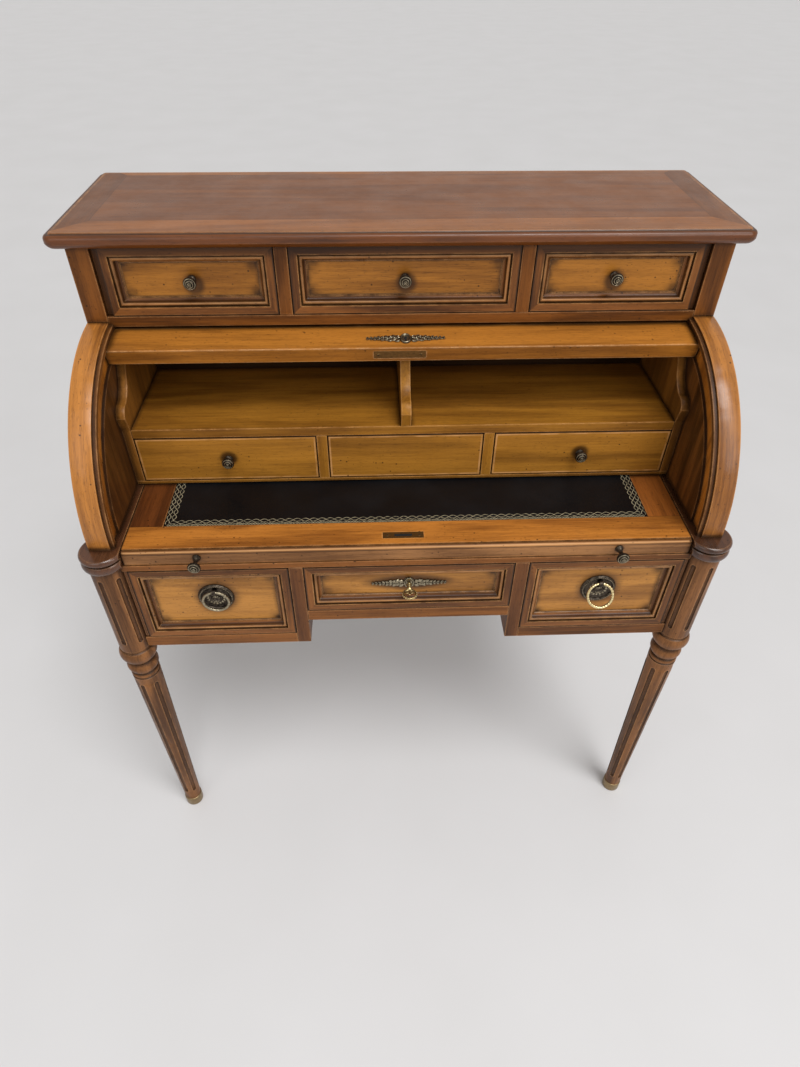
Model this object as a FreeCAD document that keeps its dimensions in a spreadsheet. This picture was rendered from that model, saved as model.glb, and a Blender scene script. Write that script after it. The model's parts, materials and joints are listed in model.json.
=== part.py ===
import FreeCAD, Part
import math
import os
from types import SimpleNamespace

import Sketcher
from FreeCAD import Placement, Rotation, Vector

# A cylinder desk: a small case of drawers over a quarter-round roll, a writing slide under the
# roll, and a kneehole case of drawers on four fluted legs.
# Frame: +Z up, the front faces -Y, the origin is on the floor under the middle of the desk.
# The roll turns about a line along X at y = 0, at the height of the writing slide.

SIZES = {
    # overall
    "desk_width": 976,
    "desk_depth": 548,
    "desk_height": 1100,
    # running and visible clearances
    "run_gap": 0.3,
    "gap": 1.2,
    "overrun": 20,
    # top board
    "top_thick": 21,
    "top_nose": 15,
    "top_edge": 12,
    "top_core_corner": 2,
    # case sides and back
    "side_overhang": 23,
    "cheek_thick": 31,
    "cheek_setback": 34,
    "upper_overhang": 9,
    "back_overhang": 16,
    "back_inset": 2,
    "back_thick": 8,
    # upper case
    "upper_case_height": 109,
    "upper_floor_thick": 16,
    "upper_divider_thick": 19,
    "upper_middle_width": 328,
    "upper_guide_thick": 9,
    "upper_guide_setback": 7,
    "upper_drawer_gap": 17,
    # roll and its tracks
    "roll_inset": 11,
    "roll_thick": 13,
    "roll_rail_thick": 25,
    "roll_rail_angle": 14,
    "roll_angle": 97.5,
    "roll_open_angle": 74.5,
    "roll_gap": 4,
    "roll_end_gap": 1,
    "track_bead": 7,
    "track_bead_thick": 6,
    "track_liner_thick": 4,
    "track_clearance": 0.8,
    "stop_angle": 5,
    "stop_gap_angle": 0.1,
    "stop_width": 14,
    "roll_lock_width": 76,
    "roll_lock_offset": 9,
    "roll_lock_plate": 13,
    "roll_lock_case": 50,
    "roll_lock_depth": 30,
    "roll_lock_thick": 2,
    # interior of small drawers and pigeonholes
    "interior_front": 87,
    "interior_back": 106,
    "interior_side_thick": 13,
    "interior_base_gap": 2,
    "interior_base_thick": 6,
    "interior_drawer_opening": 81,
    "interior_shelf_thick": 15,
    "interior_middle_width": 244,
    "interior_divider_thick": 16,
    "pigeonhole_divider_thick": 15,
    "pigeonhole_height": 86,
    "interior_panel_thick": 6,
    "ogee_nose": 7,
    "interior_drawer_gap": 5,
    # writing slide
    "slide_inset": 45,
    "slide_thick": 26,
    "slide_back_gap": 42,
    "slide_ovolo": 5,
    "slide_quirk": 1.5,
    "leather_side_margin": 51,
    "leather_front_margin": 55,
    "leather_back_margin": 26,
    "leather_thick": 1.2,
    "strike_width": 61,
    "strike_depth": 13.5,
    "strike_margin": 25,
    "strike_offset": 9,
    "strike_thick": 1.5,
    # side ledges with their corner discs
    "ledge_gap": 1,
    "ledge_lip": 3,
    "disc_radius": 34,
    # legs
    "leg_inset": 16,
    "leg_setback": 38,
    "column_radius": 26,
    "ring_radius": 29,
    "neck_radius": 20,
    "bulb_radius": 24.5,
    "taper_radius": 23.5,
    "ankle_radius": 15.5,
    "knuckle_height": 75,
    "cap_radius": 17,
    "cap_height": 24,
    "flute_radius": 4,
    "column_flute_rise": 19,
    "column_flute_drop": 17,
    "leg_flute_low": 52,
    "leg_flute_drop": 16,
    # lower case
    "case_setback": 27,
    "bed_thick": 11,
    "pedestal_drawer_opening": 148.7,
    "pedestal_floor_thick": 22,
    "centre_drawer_opening": 95.7,
    "kneehole_width": 320,
    "kneehole_floor_thick": 22,
    "partition_thick": 21,
    "side_panel_thick": 18,
    "column_gap": 4,
    "stile_setback": 2,
    "lower_drawer_gap": 11,
    # drawers
    "front_thick": 20,
    "front_lip": 12,
    "moulding_width": 12,
    "panel_recess": 11,
    "drawer_side": 10,
    "drawer_drop": 6,
    "drawer_bottom": 6,
    "drawer_bottom_raise": 7,
    # knobs
    "knob_radius": 9.5,
    "upper_knob_length": 24,
    "inner_knob_length": 20,
    "slide_knob_length": 29,
    "slide_knob_inset": 108,
    "slide_knob_drop": 7,
    # ring pulls
    "plate_radius": 27.5,
    "plate_thick": 3.5,
    "plate_raise": 5,
    "ring_radius_middle": 19.75,
    "ring_wire": 2.25,
    "ring_standoff": 8,
    "ring_hang": 17,
    "ring_tilt_angle": 28,
    "eyelet_radius": 4.8,
    "eyelet_width": 6,
    "eyelet_clearance": 0.6,
    # escutcheons, locks and key
    "escutcheon_width": 118,
    "escutcheon_height": 25,
    "escutcheon_thick": 3,
    "roll_escutcheon_angle": 5.5,
    "keyhole_radius": 3.4,
    "keyhole_drop": 47,
    "lock_width": 70,
    "lock_height": 56,
    "lock_thick": 9,
    "bolt_width": 34,
    "bolt_thick": 5,
    "bolt_height": 22,
    "bolt_throw": 6,
    "bolt_clearance": 0.3,
    "key_radius": 2.6,
    "key_reach": 19,
    "key_bow": 12,
    "key_bow_wire": 2.6,
    "key_bit_depth": 14,
}

# bulge of an arc as a share: the tangent of a quarter of its angle
QUARTER_SHARE = math.tan(math.pi / 8)
# Outlines as shares of the two sizes they follow, some with the bulge of the arc that starts there.
# top edging, outer face first: a rounded nose under a quirk and a small bead
TOP_EDGING_SHARES = [(0, 0.38, 0.25), (0.75, 0), (1, 0), (1, 1), (0.75, 1), (0.62, 0.9),
                     (0.5, 0.9, QUARTER_SHARE), (0, 0.62)]
# corner disc: a swelling band below a quirk, then a full rounded lip
CORNER_DISC_SHARES = [(0, 0), (0.9, 0, 0.35), (0.9, 0.52), (0.84, 0.54), (0.84, 0.59),
                      (0.88, 0.61, 0.6), (0.88, 1), (0, 1)]
# front edge of the upright boards inside: a round nose below, a hollow above
OGEE_SHARES = [(0.70, 1), (0.58, 0.78, -0.22), (0.24, 0.46, 0.35), (0, 0.28)]
# knob: spreading foot, neck and rounded head
KNOB_SHARES = [(0, 0), (0.62, 0), (0.62, 0.08), (0.36, 0.2), (0.36, 0.46), (0.92, 0.60, 0.35),
               (0.92, 0.88), (0.62, 0.97), (0, 1)]
# moulding round a drawer panel: cove, bead and quirk
MOULDING_SHARES = [(0, 0), (1, 0), (0.92, 0.14, -0.35), (0.58, 0.62), (0.54, 0.74, 0.8),
                   (0.16, 0.74), (0, 0.66)]
# ring-pull plate: beaded rim, dished field and domed middle
PLATE_SHARES = [(0, 0), (1, 0), (1, 0.4), (0.94, 1, 0.5), (0.84, 1), (0.80, 0.55), (0.42, 0.6),
                (0.36, 1), (0.26, 1, 0.3), (0.06, 1.8), (0, 1.8)]
# key stem: plain end in the lock, a collar, and a plain neck up to the bow
KEY_STEM_SHARES = [(0, 0), (1, 0), (1, 0.53), (1.6, 0.57, 0.4), (1.6, 0.65), (1, 0.69), (1, 1), (0, 1)]
# turned part of a leg between its taper and its column: radius, its share, and share of the height
KNUCKLE_SHARES = [("taper", 1, 0), ("taper", 0.93, 0.015), ("taper", 0.93, 0.03, 0.45), ("taper", 0.93, 0.13),
                  ("neck", 1, 0.155), ("neck", 1, 0.18), ("bulb", 0.9, 0.20, 0.40), ("bulb", 0.9, 0.46),
                  ("neck", 1, 0.50, -0.35), ("ring", 0.88, 0.60), ("ring", 0.94, 0.63, 0.28),
                  ("ring", 0.94, 0.92), ("column", 0.96, 0.94), ("column", 0.96, 1)]
# the post under a ring's eyelet, as a share of the eyelet's half width
POST_SHARE = 0.8
# flutes round a leg, and how far in degrees the first of a left-hand leg is from its front
FLUTE_COUNT = 6
FLUTE_START = -15.0
# how far a flute's own centre line stands out of the leg, as a share of the flute's radius
FLUTE_OUT_SHARE = 0.25

doc = FreeCAD.newDocument("cylinder_desk")
sheet = doc.addObject("Spreadsheet::Sheet", "Sizes")
for row, (alias, number) in enumerate(SIZES.items(), start=1):
    sheet.set(f"A{row}", alias)
    sheet.set(f"B{row}", str(number))
    sheet.setAlias(f"B{row}", alias)
doc.recompute()


class Size:
    """A length or angle: its value now, and the sheet expression that gives it."""

    def __init__(self, text, value):
        self.text = text
        self.value = value

    def combine(self, sign, other, value):
        return Size(f"({self.text} {sign} {as_size(other).text})", value)

    def __add__(self, other):
        return self.combine("+", other, self.value + as_size(other).value)

    def __sub__(self, other):
        return self.combine("-", other, self.value - as_size(other).value)

    def __mul__(self, other):
        return self.combine("*", other, self.value * as_size(other).value)

    def __truediv__(self, other):
        return self.combine("/", other, self.value / as_size(other).value)

    def __radd__(self, other):
        return as_size(other) + self

    def __rsub__(self, other):
        return as_size(other) - self

    def __rmul__(self, other):
        return as_size(other) * self

    def __neg__(self):
        return Size(f"(0 - {self.text})", -self.value)


def as_size(value):
    """A plain number as a Size, so that both can stand in one sum."""
    return value if isinstance(value, Size) else Size(repr(float(value)), float(value))


def root(size):
    return Size(f"sqrt({size.text})", math.sqrt(size.value))


def sine(angle):
    return Size(f"sin({angle.text} * 1 deg)", math.sin(math.radians(angle.value)))


def cosine(angle):
    return Size(f"cos({angle.text} * 1 deg)", math.cos(math.radians(angle.value)))


def slope_angle(rise, run):
    ratio = rise / run
    return Size(f"(atan({ratio.text}) / 1 deg)", math.degrees(math.atan(ratio.value)))


s = SimpleNamespace(**{name: Size(f"Sizes.{name}", float(SIZES[name])) for name in SIZES})
nodes = {}


def keep(obj, name=None):
    """Register a finished sub-part under its own name."""
    if name:
        obj.Label = name
    nodes[obj.Label] = obj
    return obj


def bind(obj, **values):
    """Tie properties to the sheet; a double underscore stands for a dot."""
    for key, value in values.items():
        obj.setExpression(key.replace("__", "."), as_size(value).text)


def place(obj, x=0, y=0, z=0):
    bind(obj, Placement__Base__x=x, Placement__Base__y=y, Placement__Base__z=z)


def box(name, x, y, z):
    """A board between the low and high ends given for each axis."""
    obj = doc.addObject("Part::Box", name)
    bind(obj, Length=as_size(x[1]) - x[0], Width=as_size(y[1]) - y[0], Height=as_size(z[1]) - z[0])
    place(obj, x[0], y[0], z[0])
    return obj


def rod(name, radius, length, x=0, y=0, z=0, turn=None):
    obj = doc.addObject("Part::Cylinder", name)
    bind(obj, Radius=radius, Height=length)
    if turn:
        obj.Placement = Placement(Vector(), turn)
    place(obj, x, y, z)
    return obj


ALONG_X = Rotation(Vector(0, 1, 0), 90)
TO_FRONT = Rotation(Vector(1, 0, 0), 90)


def cut(name, base, *tools):
    for number, tool in enumerate(tools):
        obj = doc.addObject("Part::Cut", f"{name}_cut{number}" if number < len(tools) - 1 else name)
        obj.Base = base
        obj.Tool = tool
        base = obj
    return base


def fuse(name, *shapes):
    obj = doc.addObject("Part::MultiFuse", name)
    obj.Shapes = list(shapes)
    return obj


def group(name, *links):
    obj = doc.addObject("Part::Compound", name)
    obj.Links = list(links)
    return obj


def mirrored(name, source, normal=Vector(1, 0, 0), y=0):
    """The opposite-hand copy across a plane through the desk's middle, or at y."""
    obj = doc.addObject("Part::Mirroring", name)
    obj.Source = source
    obj.Normal = normal
    bind(obj, Base__y=y)
    return obj


def pair(name, source):
    """A left-hand piece and its right-hand copy as one sub-part of two solids."""
    return keep(group(name, source, mirrored(f"{name}_opposite", source)))


def scaled(shares, across, up):
    """An outline from a table of shares of two sizes, with the bulge of any arc kept."""
    return [(across * a if a else 0, up * b if b else 0, *bulge) for a, b, *bulge in shares]


def mid_arc(start, end, bulge):
    across, up = end[0].value - start[0].value, end[1].value - start[1].value
    x = (start[0].value + end[0].value + bulge * up) / 2
    y = (start[1].value + end[1].value - bulge * across) / 2
    return Vector(x, y, 0)


def hold_point(sketch, edge, end, point):
    """Fix one end of an edge at a place given by two sizes."""
    for kind, axis, size in (("DistanceX", -2, point[0]), ("DistanceY", -1, point[1])):
        if size.text == as_size(0).text:
            sketch.addConstraint(Sketcher.Constraint("PointOnObject", edge, end, axis))
        else:
            index = sketch.addConstraint(Sketcher.Constraint(kind, -1, 1, edge, end, size.value))
            sketch.setExpression(f"Constraints[{index}]", size.text)


def draw(sketch, corners):
    """Draw a closed outline of (across, up) or (across, up, bulge share of the arc to the next)."""
    points = [(as_size(c[0]), as_size(c[1])) for c in corners]
    bulges = [c[2] if len(c) > 2 else 0 for c in corners]
    ends = []
    for here, bulge in enumerate(bulges):
        start, end = points[here], points[(here + 1) % len(points)]
        low, high = Vector(start[0].value, start[1].value), Vector(end[0].value, end[1].value)
        if not bulge:
            ends.append((sketch.addGeometry(Part.LineSegment(low, high)), 1, 2))
            continue
        edge = sketch.addGeometry(Part.Arc(low, mid_arc(start, end, bulge), high))
        flipped = (sketch.getPoint(edge, 1) - low).Length > (sketch.getPoint(edge, 2) - low).Length
        ends.append((edge, 2, 1) if flipped else (edge, 1, 2))
    for here, (edge, first, last) in enumerate(ends):
        after = ends[(here + 1) % len(ends)]
        sketch.addConstraint(Sketcher.Constraint("Coincident", edge, last, after[0], after[1]))
        hold_point(sketch, edge, first, points[here])
    for here, bulge in enumerate(bulges):
        if bulge:
            start, end = points[here], points[(here + 1) % len(points)]
            across, up = end[0] - start[0], end[1] - start[1]
            chord = root(across * across + up * up)
            radius = chord * ((1 + bulge * bulge) / (4 * abs(bulge)))
            index = sketch.addConstraint(Sketcher.Constraint("Radius", ends[here][0], radius.value))
            sketch.setExpression(f"Constraints[{index}]", radius.text)
    return sketch


def body_sketch(name, plane, corners):
    body = doc.addObject("PartDesign::Body", name)
    sketch = body.newObject("Sketcher::SketchObject", f"{name}_outline")
    flat = [f for f in body.Origin.OriginFeatures if f.Role == plane][0]
    sketch.AttachmentSupport = [(flat, "")]
    sketch.MapMode = "FlatFace"
    return body, draw(sketch, corners)


def prism(name, corners, x, y, z):
    """A board of one outline across the desk: corners in (back, up), x its two ends."""
    body, sketch = body_sketch(name, "YZ_Plane", corners)
    pad = body.newObject("PartDesign::Pad", f"{name}_pad")
    pad.Profile = sketch
    bind(pad, Length=as_size(x[1]) - x[0])
    place(body, x[0], y, z)
    return body


def slab(name, corners, y, z):
    """A level board of one outline: corners in (right, back), z its two faces."""
    body, sketch = body_sketch(name, "XY_Plane", corners)
    pad = body.newObject("PartDesign::Pad", f"{name}_pad")
    pad.Profile = sketch
    bind(pad, Length=as_size(z[1]) - z[0])
    place(body, 0, y, z[0])
    return body


def rounded(half, depth, corner):
    """A rectangle with rounded corners, from the middle of its front edge."""
    return [(0, 0), (half - corner, 0, QUARTER_SHARE), (half, corner),
            (half, depth - corner, QUARTER_SHARE), (half - corner, depth),
            (corner - half, depth, QUARTER_SHARE), (-half, depth - corner),
            (-half, corner, QUARTER_SHARE), (corner - half, 0)]


def turned(name, corners, turn=None, x=0, y=0, z=0):
    """A turned piece: corners in (radius, height) about its own upright axis."""
    body, sketch = body_sketch(name, "XZ_Plane", corners)
    spin = body.newObject("PartDesign::Revolution", f"{name}_spin")
    spin.Profile = sketch
    spin.ReferenceAxis = (sketch, ["V_Axis"])
    spin.Angle = 360
    if turn:
        body.Placement = Placement(Vector(), turn)
    place(body, x, y, z)
    return body


def sector(name, x, inner, outer, front, back, z=0):
    """Part of a tube about a line along X, between two angles counted up from the front."""
    length = as_size(x[1]) - x[0]
    corners = [(0, inner), (length, inner), (length, outer), (0, outer)]
    body, sketch = body_sketch(name, "XY_Plane", corners)
    spin = body.newObject("PartDesign::Revolution", f"{name}_spin")
    spin.Profile = sketch
    spin.ReferenceAxis = (sketch, ["H_Axis"])
    bind(spin, Angle=as_size(back) - front)
    body.Placement = Placement(Vector(), Rotation(Vector(1, 0, 0), 1))
    bind(body, Placement__Rotation__Angle=180 - as_size(back))
    place(body, x[0], 0, z)
    return body


def swept(name, outline, path, outline_turn, path_turn, at):
    """A moulding of one outline round a closed path; both lie about the same point."""
    sketches = []
    for part, corners, turn in (("outline", outline, outline_turn), ("path", path, path_turn)):
        sketch = draw(doc.addObject("Sketcher::SketchObject", f"{name}_{part}"), corners)
        sketch.Placement = Placement(Vector(), turn)
        place(sketch, *at)
        sketches.append(sketch)
    obj = doc.addObject("Part::Sweep", name)
    obj.Sections = [sketches[0]]
    obj.Spine = (sketches[1], [f"Edge{n + 1}" for n in range(len(path))])
    obj.Solid = True
    obj.Frenet = False
    obj.Transition = "Right corner"
    return obj


# Places that several pieces share, from the top of the desk down and from its ends inwards
half_case = s.desk_width / 2 - s.side_overhang
half_depth = s.desk_depth / 2
cheek_in = half_case - s.cheek_thick
cheek_radius = half_depth - s.cheek_setback
top_low = s.desk_height - s.top_thick
upper_low = top_low - s.upper_case_height
writing_height = upper_low - cheek_radius
upper_front = -s.upper_overhang
roll_radius = cheek_radius - s.roll_inset
roll_inner = roll_radius - s.roll_rail_thick
floor_low = writing_height + roll_radius + s.roll_gap
floor_top = floor_low + s.upper_floor_thick
back_y = half_depth - s.back_overhang
panel_back = back_y - s.back_inset
panel_front = panel_back - s.back_thick
slide_low = writing_height - s.slide_thick
slide_front = s.slide_knob_length - half_depth
slide_back = panel_front - s.slide_back_gap
slide_half = half_case - s.slide_inset
bed_top = slide_low - s.run_gap
bed_low = bed_top - s.bed_thick
pedestal_top = bed_low - s.pedestal_drawer_opening
case_low = pedestal_top - s.pedestal_floor_thick
kneehole_top = bed_low - s.centre_drawer_opening
kneehole_height = kneehole_top - s.kneehole_floor_thick
taper_top = case_low - s.knuckle_height
leg_x = half_case - s.leg_inset
leg_front = half_depth - s.leg_setback
leg_rear_y = back_y - s.disc_radius
case_front = s.case_setback - half_depth
side_in = leg_x - s.side_panel_thick / 2
lower_back = leg_rear_y - s.back_thick
partition_in = s.kneehole_width / 2
partition_out = partition_in + s.partition_thick
drawer_out = leg_x - s.column_radius - s.column_gap
lower_drawer_end = lower_back - s.lower_drawer_gap
liner_radius = roll_inner - s.track_clearance
liner_in = cheek_in - s.track_liner_thick
FLAT = Rotation()
UPRIGHT = Rotation(Vector(1, 0, 0), 90)
SIDEWAYS = Rotation(Vector(1, 1, 1), 120)
INTO_FRONT = Rotation(Vector(0, 0, 1), Vector(0, -1, 0), Vector(1, 0, 0), "XYZ")


def column_cutters(name):
    """Plain round bars where the four leg columns stand, for boards that meet them."""
    front = rod(f"{name}_front", s.column_radius, s.desk_height, leg_x, -leg_front)
    rear = rod(f"{name}_rear", s.column_radius, s.desk_height, leg_x, leg_rear_y)
    bars = group(f"{name}_right", front, rear)
    return group(name, bars, mirrored(f"{name}_left", bars))


def make_top():
    """The board and the moulded edging round it, set flush on top."""
    half = s.desk_width / 2
    front = upper_front - s.top_nose
    depth = half_depth - front
    edge = s.top_edge
    core = slab("top_core", rounded(half - edge, depth - 2 * edge, s.top_core_corner), front + edge,
                (top_low, s.desk_height))
    outline = scaled(TOP_EDGING_SHARES, edge, s.top_thick)
    path = rounded(half, depth, edge + s.top_core_corner)
    edging = swept("top_edging", outline, path, SIDEWAYS, FLAT, (0, front, top_low))
    keep(group("top_board", core, edging))


def make_upper_case():
    """Sides, floor, dividers and guides of the upper drawer case, and the back of the desk."""
    side = box("upper_side", (-half_case, -cheek_in), (upper_front, back_y), (upper_low, top_low))
    pair("upper_sides", side)
    keep(box("upper_floor", (-cheek_in, cheek_in), (upper_front, panel_front), (floor_low, floor_top)))
    middle = s.upper_middle_width / 2
    divider = box("upper_divider", (-(middle + s.upper_divider_thick), -middle), (upper_front, panel_front),
                  (floor_top, top_low))
    guide = box("upper_guide", (-cheek_in, s.upper_guide_thick - cheek_in),
                (upper_front + s.upper_guide_setback, panel_front), (floor_top, top_low))
    pair("upper_dividers", group("upper_divider_and_guide", divider, guide))
    keep(box("back_panel", (-cheek_in, cheek_in), (panel_front, panel_back), (bed_top, top_low)))


def make_cheeks():
    """The quarter-round ends that stand on the ledges, and the tracks the roll runs in."""
    radius, depth = cheek_radius, cheek_radius + back_y
    outline = [(0, 0), (depth, 0), (depth, radius), (radius, radius, QUARTER_SHARE)]
    cheek = keep(prism("cheek_left", outline, (-half_case, -cheek_in), -radius, writing_height))
    keep(mirrored("cheek_right", cheek))
    bead_low = roll_radius + s.track_clearance
    bead = sector("track_bead_blank", (-cheek_in, s.track_bead_thick - cheek_in), bead_low,
                  bead_low + s.track_bead, 0, 90, writing_height)
    pair("track_beads", cut("track_bead", bead, nodes["upper_floor"]))
    liner = sector("track_liner", (-cheek_in, -liner_in), 0, liner_radius, 0, 180, writing_height)
    end = s.roll_open_angle + s.roll_angle + s.stop_gap_angle
    stop = sector("roll_stop", (-cheek_in, s.stop_width - cheek_in), roll_radius - s.roll_thick,
                  roll_radius, end, end + s.stop_angle, writing_height)
    pair("roll_tracks", group("tracks_left", liner, stop))


def opened(name, source):
    """A roll piece, built closed about the roll's own axis, turned to its open rest."""
    obj = group(name, source)
    obj.Placement = Placement(Vector(), Rotation(Vector(1, 0, 0), -1))
    bind(obj, Placement__Rotation__Angle=-s.roll_open_angle)
    place(obj, 0, 0, writing_height)
    return keep(obj)


def make_roll():
    """The rigid quarter-round roll: shell, thick lower rail, its lock and escutcheon."""
    half = cheek_in - s.roll_end_gap
    middle = roll_radius - s.roll_rail_thick / 2
    plate_x = (-(s.roll_lock_offset + s.roll_lock_width / 2), s.roll_lock_width / 2 - s.roll_lock_offset)
    case_x = (-(s.roll_lock_offset + s.roll_lock_case / 2), s.roll_lock_case / 2 - s.roll_lock_offset)
    across = (-(middle + s.roll_lock_plate / 2), s.roll_lock_plate / 2 - middle)

    def lock_solid(name, below):
        plate = box(f"{name}_plate", plate_x, across, (-below, s.roll_lock_thick))
        case = box(f"{name}_case", case_x, across, (0, s.roll_lock_depth))
        return fuse(name, plate, case)

    rail = sector("roll_rail_blank", (-half, half), roll_inner, roll_radius, 0, s.roll_rail_angle)
    opened("roll_rail", cut("roll_rail_cut", rail, lock_solid("roll_lock_pocket", s.overrun)))
    opened("roll_lock", lock_solid("roll_lock_solid", as_size(0)))
    shell = sector("roll_shell_blank", (-half, half), roll_radius - s.roll_thick, roll_radius,
                   s.roll_rail_angle, s.roll_angle)
    opened("roll_shell", shell)
    lens = doc.addObject("Part::Ellipsoid", "roll_escutcheon_lens")
    bind(lens, Radius1=s.escutcheon_thick, Radius2=s.escutcheon_width / 2, Radius3=s.escutcheon_height / 2)
    lens.Placement = Placement(Vector(), TO_FRONT)
    angle = s.roll_escutcheon_angle
    bind(lens, Placement__Rotation__Angle=90 - angle)
    place(lens, 0, -(roll_radius * cosine(angle)), roll_radius * sine(angle))
    drum = rod("roll_drum", roll_radius, s.desk_width, -(s.desk_width / 2), 0, 0, ALONG_X)
    opened("roll_escutcheon", cut("roll_escutcheon_cut", lens, drum))


def inside_roll(name, blank):
    """The part of a board that stays inside the circle the roll's rail runs round."""
    limit = rod(f"{name}_limit", liner_radius, s.desk_width, -(s.desk_width / 2), 0, writing_height,
                ALONG_X)
    obj = doc.addObject("Part::Common", name)
    obj.Base = blank
    obj.Tool = limit
    return obj


def ogee_board(name, x, low, high):
    """An upright board with an ogee front edge, clear of the roll."""
    nose, front, back = s.ogee_nose, s.interior_front, s.interior_back
    rise = high - low
    outline = [(nose, 0), (nose + front + back, 0), (nose + front + back, rise),
               *scaled(OGEE_SHARES, front, rise)]
    return inside_roll(name, prism(f"{name}_blank", outline, x, -(front + nose), low))


interior_low = writing_height + s.interior_base_gap
interior_floor = interior_low + s.interior_base_thick
shelf_low = interior_floor + s.interior_drawer_opening
shelf_top = shelf_low + s.interior_shelf_thick
interior_in = liner_in - s.interior_side_thick
interior_panel = s.interior_back - s.interior_panel_thick
interior_middle = s.interior_middle_width / 2
interior_side = interior_middle + s.interior_divider_thick


def make_interior():
    """The fixed unit inside: base, sides, dividers, shelf, pigeonhole divider and back."""
    front, back = -s.interior_front, s.interior_back
    keep(box("interior_base", (-liner_in, liner_in), (front, back), (interior_low, interior_floor)))
    keep(box("interior_shelf", (-interior_in, interior_in), (front, interior_panel),
             (shelf_low, shelf_top)))
    top = shelf_top + s.pigeonhole_height
    lower = box("interior_side_low", (-liner_in, -interior_in), (front, back), (interior_floor, shelf_top))
    upper = ogee_board("interior_side_ogee", (-liner_in, -interior_in), shelf_top, top)
    pair("interior_sides", fuse("interior_side", lower, upper))
    divider = box("interior_divider", (-interior_side, -interior_middle), (front, interior_panel),
                  (interior_floor, shelf_low))
    half = s.pigeonhole_divider_thick / 2
    ogee = ogee_board("pigeonhole_divider_ogee", (-half, half), shelf_top, top)
    behind = box("pigeonhole_divider_room", (-half, half), (interior_panel, back + s.overrun),
                 (shelf_top, top))
    keep(group("interior_dividers", divider, mirrored("interior_divider_right", divider),
               cut("pigeonhole_divider", ogee, behind)))
    panel = box("interior_back_blank", (-interior_in, interior_in), (interior_panel, back),
                (interior_floor, top))
    keep(inside_roll("interior_back", panel))


def make_ledges():
    """The ledge over each side: a bar between two moulded corner discs, trimmed beside the slide."""
    outline = scaled(CORNER_DISC_SHARES, s.disc_radius, writing_height - bed_top)
    discs = [turned(f"corner_disc_{end}", outline, None, -leg_x, y, bed_top)
             for end, y in (("front", -leg_front), ("rear", leg_rear_y))]
    inner = slide_half + s.ledge_gap
    bar = box("ledge_bar", (-(half_case + s.ledge_lip), -inner), (-leg_front, leg_rear_y),
              (bed_top, writing_height))
    whole = fuse("ledge_whole", bar, *discs)
    slide_room = box("ledge_slide_room", (-inner, inner), (-s.desk_depth, s.desk_depth),
                     (0, s.desk_height))
    back_room = box("ledge_back_room", (-cheek_in, cheek_in), (panel_front, s.desk_depth),
                    (0, s.desk_height))
    pair("side_ledges", cut("ledge_left", whole, slide_room, back_room))


def make_lower_case():
    """The kneehole case under the slide: bed, sides, partitions, floors, stiles and back."""
    side_out = side_in + s.side_panel_thick
    bed = box("slide_bed_blank", (-side_out, side_out), (case_front, leg_rear_y), (bed_low, bed_top))
    mortise_y = case_front + s.front_thick + (s.lock_thick - s.bolt_thick) / 2 - s.bolt_clearance
    mortise_half = s.bolt_width / 2 + s.bolt_clearance
    mortise = box("bolt_mortise", (-mortise_half, mortise_half),
                  (mortise_y, mortise_y + s.bolt_thick + 2 * s.bolt_clearance),
                  (bed_low - s.overrun, bed_low + s.bolt_throw + s.gap))
    keep(cut("slide_bed", bed, column_cutters("bed_columns"), mortise))
    panel = box("side_panel_blank", (-side_out, -side_in), (-leg_front, leg_rear_y),
                (case_low, bed_low))
    pair("side_panels", cut("side_panel", panel, column_cutters("panel_columns")))
    pair("pedestal_partitions", box("partition", (-partition_out, -partition_in),
                                    (case_front, lower_back), (case_low, bed_low)))
    floor = box("pedestal_floor_blank", (-side_in, -partition_out), (case_front, lower_back),
                (case_low, pedestal_top))
    floor = cut("pedestal_floor", floor, column_cutters("floor_columns"))
    knee_floor = box("kneehole_floor", (-partition_in, partition_in), (case_front, lower_back),
                     (kneehole_height, kneehole_top))
    keep(group("drawer_floors", floor, mirrored("pedestal_floor_right", floor), knee_floor))
    stile = box("stile_blank", (-side_in, -drawer_out), (case_front + s.stile_setback, lower_back),
                (pedestal_top, bed_low))
    pair("drawer_stiles", cut("stile", stile, column_cutters("stile_columns")))
    back = box("lower_back_blank", (-leg_x, leg_x), (lower_back, leg_rear_y), (case_low, bed_low))
    knees = box("lower_back_knees", (-partition_in, partition_in),
                (lower_back - s.overrun, leg_rear_y + s.overrun),
                (case_low - s.overrun, kneehole_height))
    keep(cut("lower_back_panel", back, column_cutters("back_columns"), knees))


def flute(name, azimuth, low, high, radius, lean):
    """One round-ended flute cut, its axis on the leg's surface and leaning with its taper."""
    tip, length = s.flute_radius, high - low
    outline = [(0, 0, QUARTER_SHARE), (tip, tip), (tip, length - tip, QUARTER_SHARE), (0, length)]
    turn = math.radians(azimuth)
    piece = turned(name, outline)
    radius = radius + tip * FLUTE_OUT_SHARE
    piece.Placement = Placement(Vector(), Rotation(Vector(math.cos(turn), math.sin(turn), 0), 1))
    bind(piece, Placement__Rotation__Angle=lean)
    place(piece, radius * math.sin(turn) - leg_x, -(radius * math.cos(turn)) - leg_front, low)
    return piece


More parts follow.
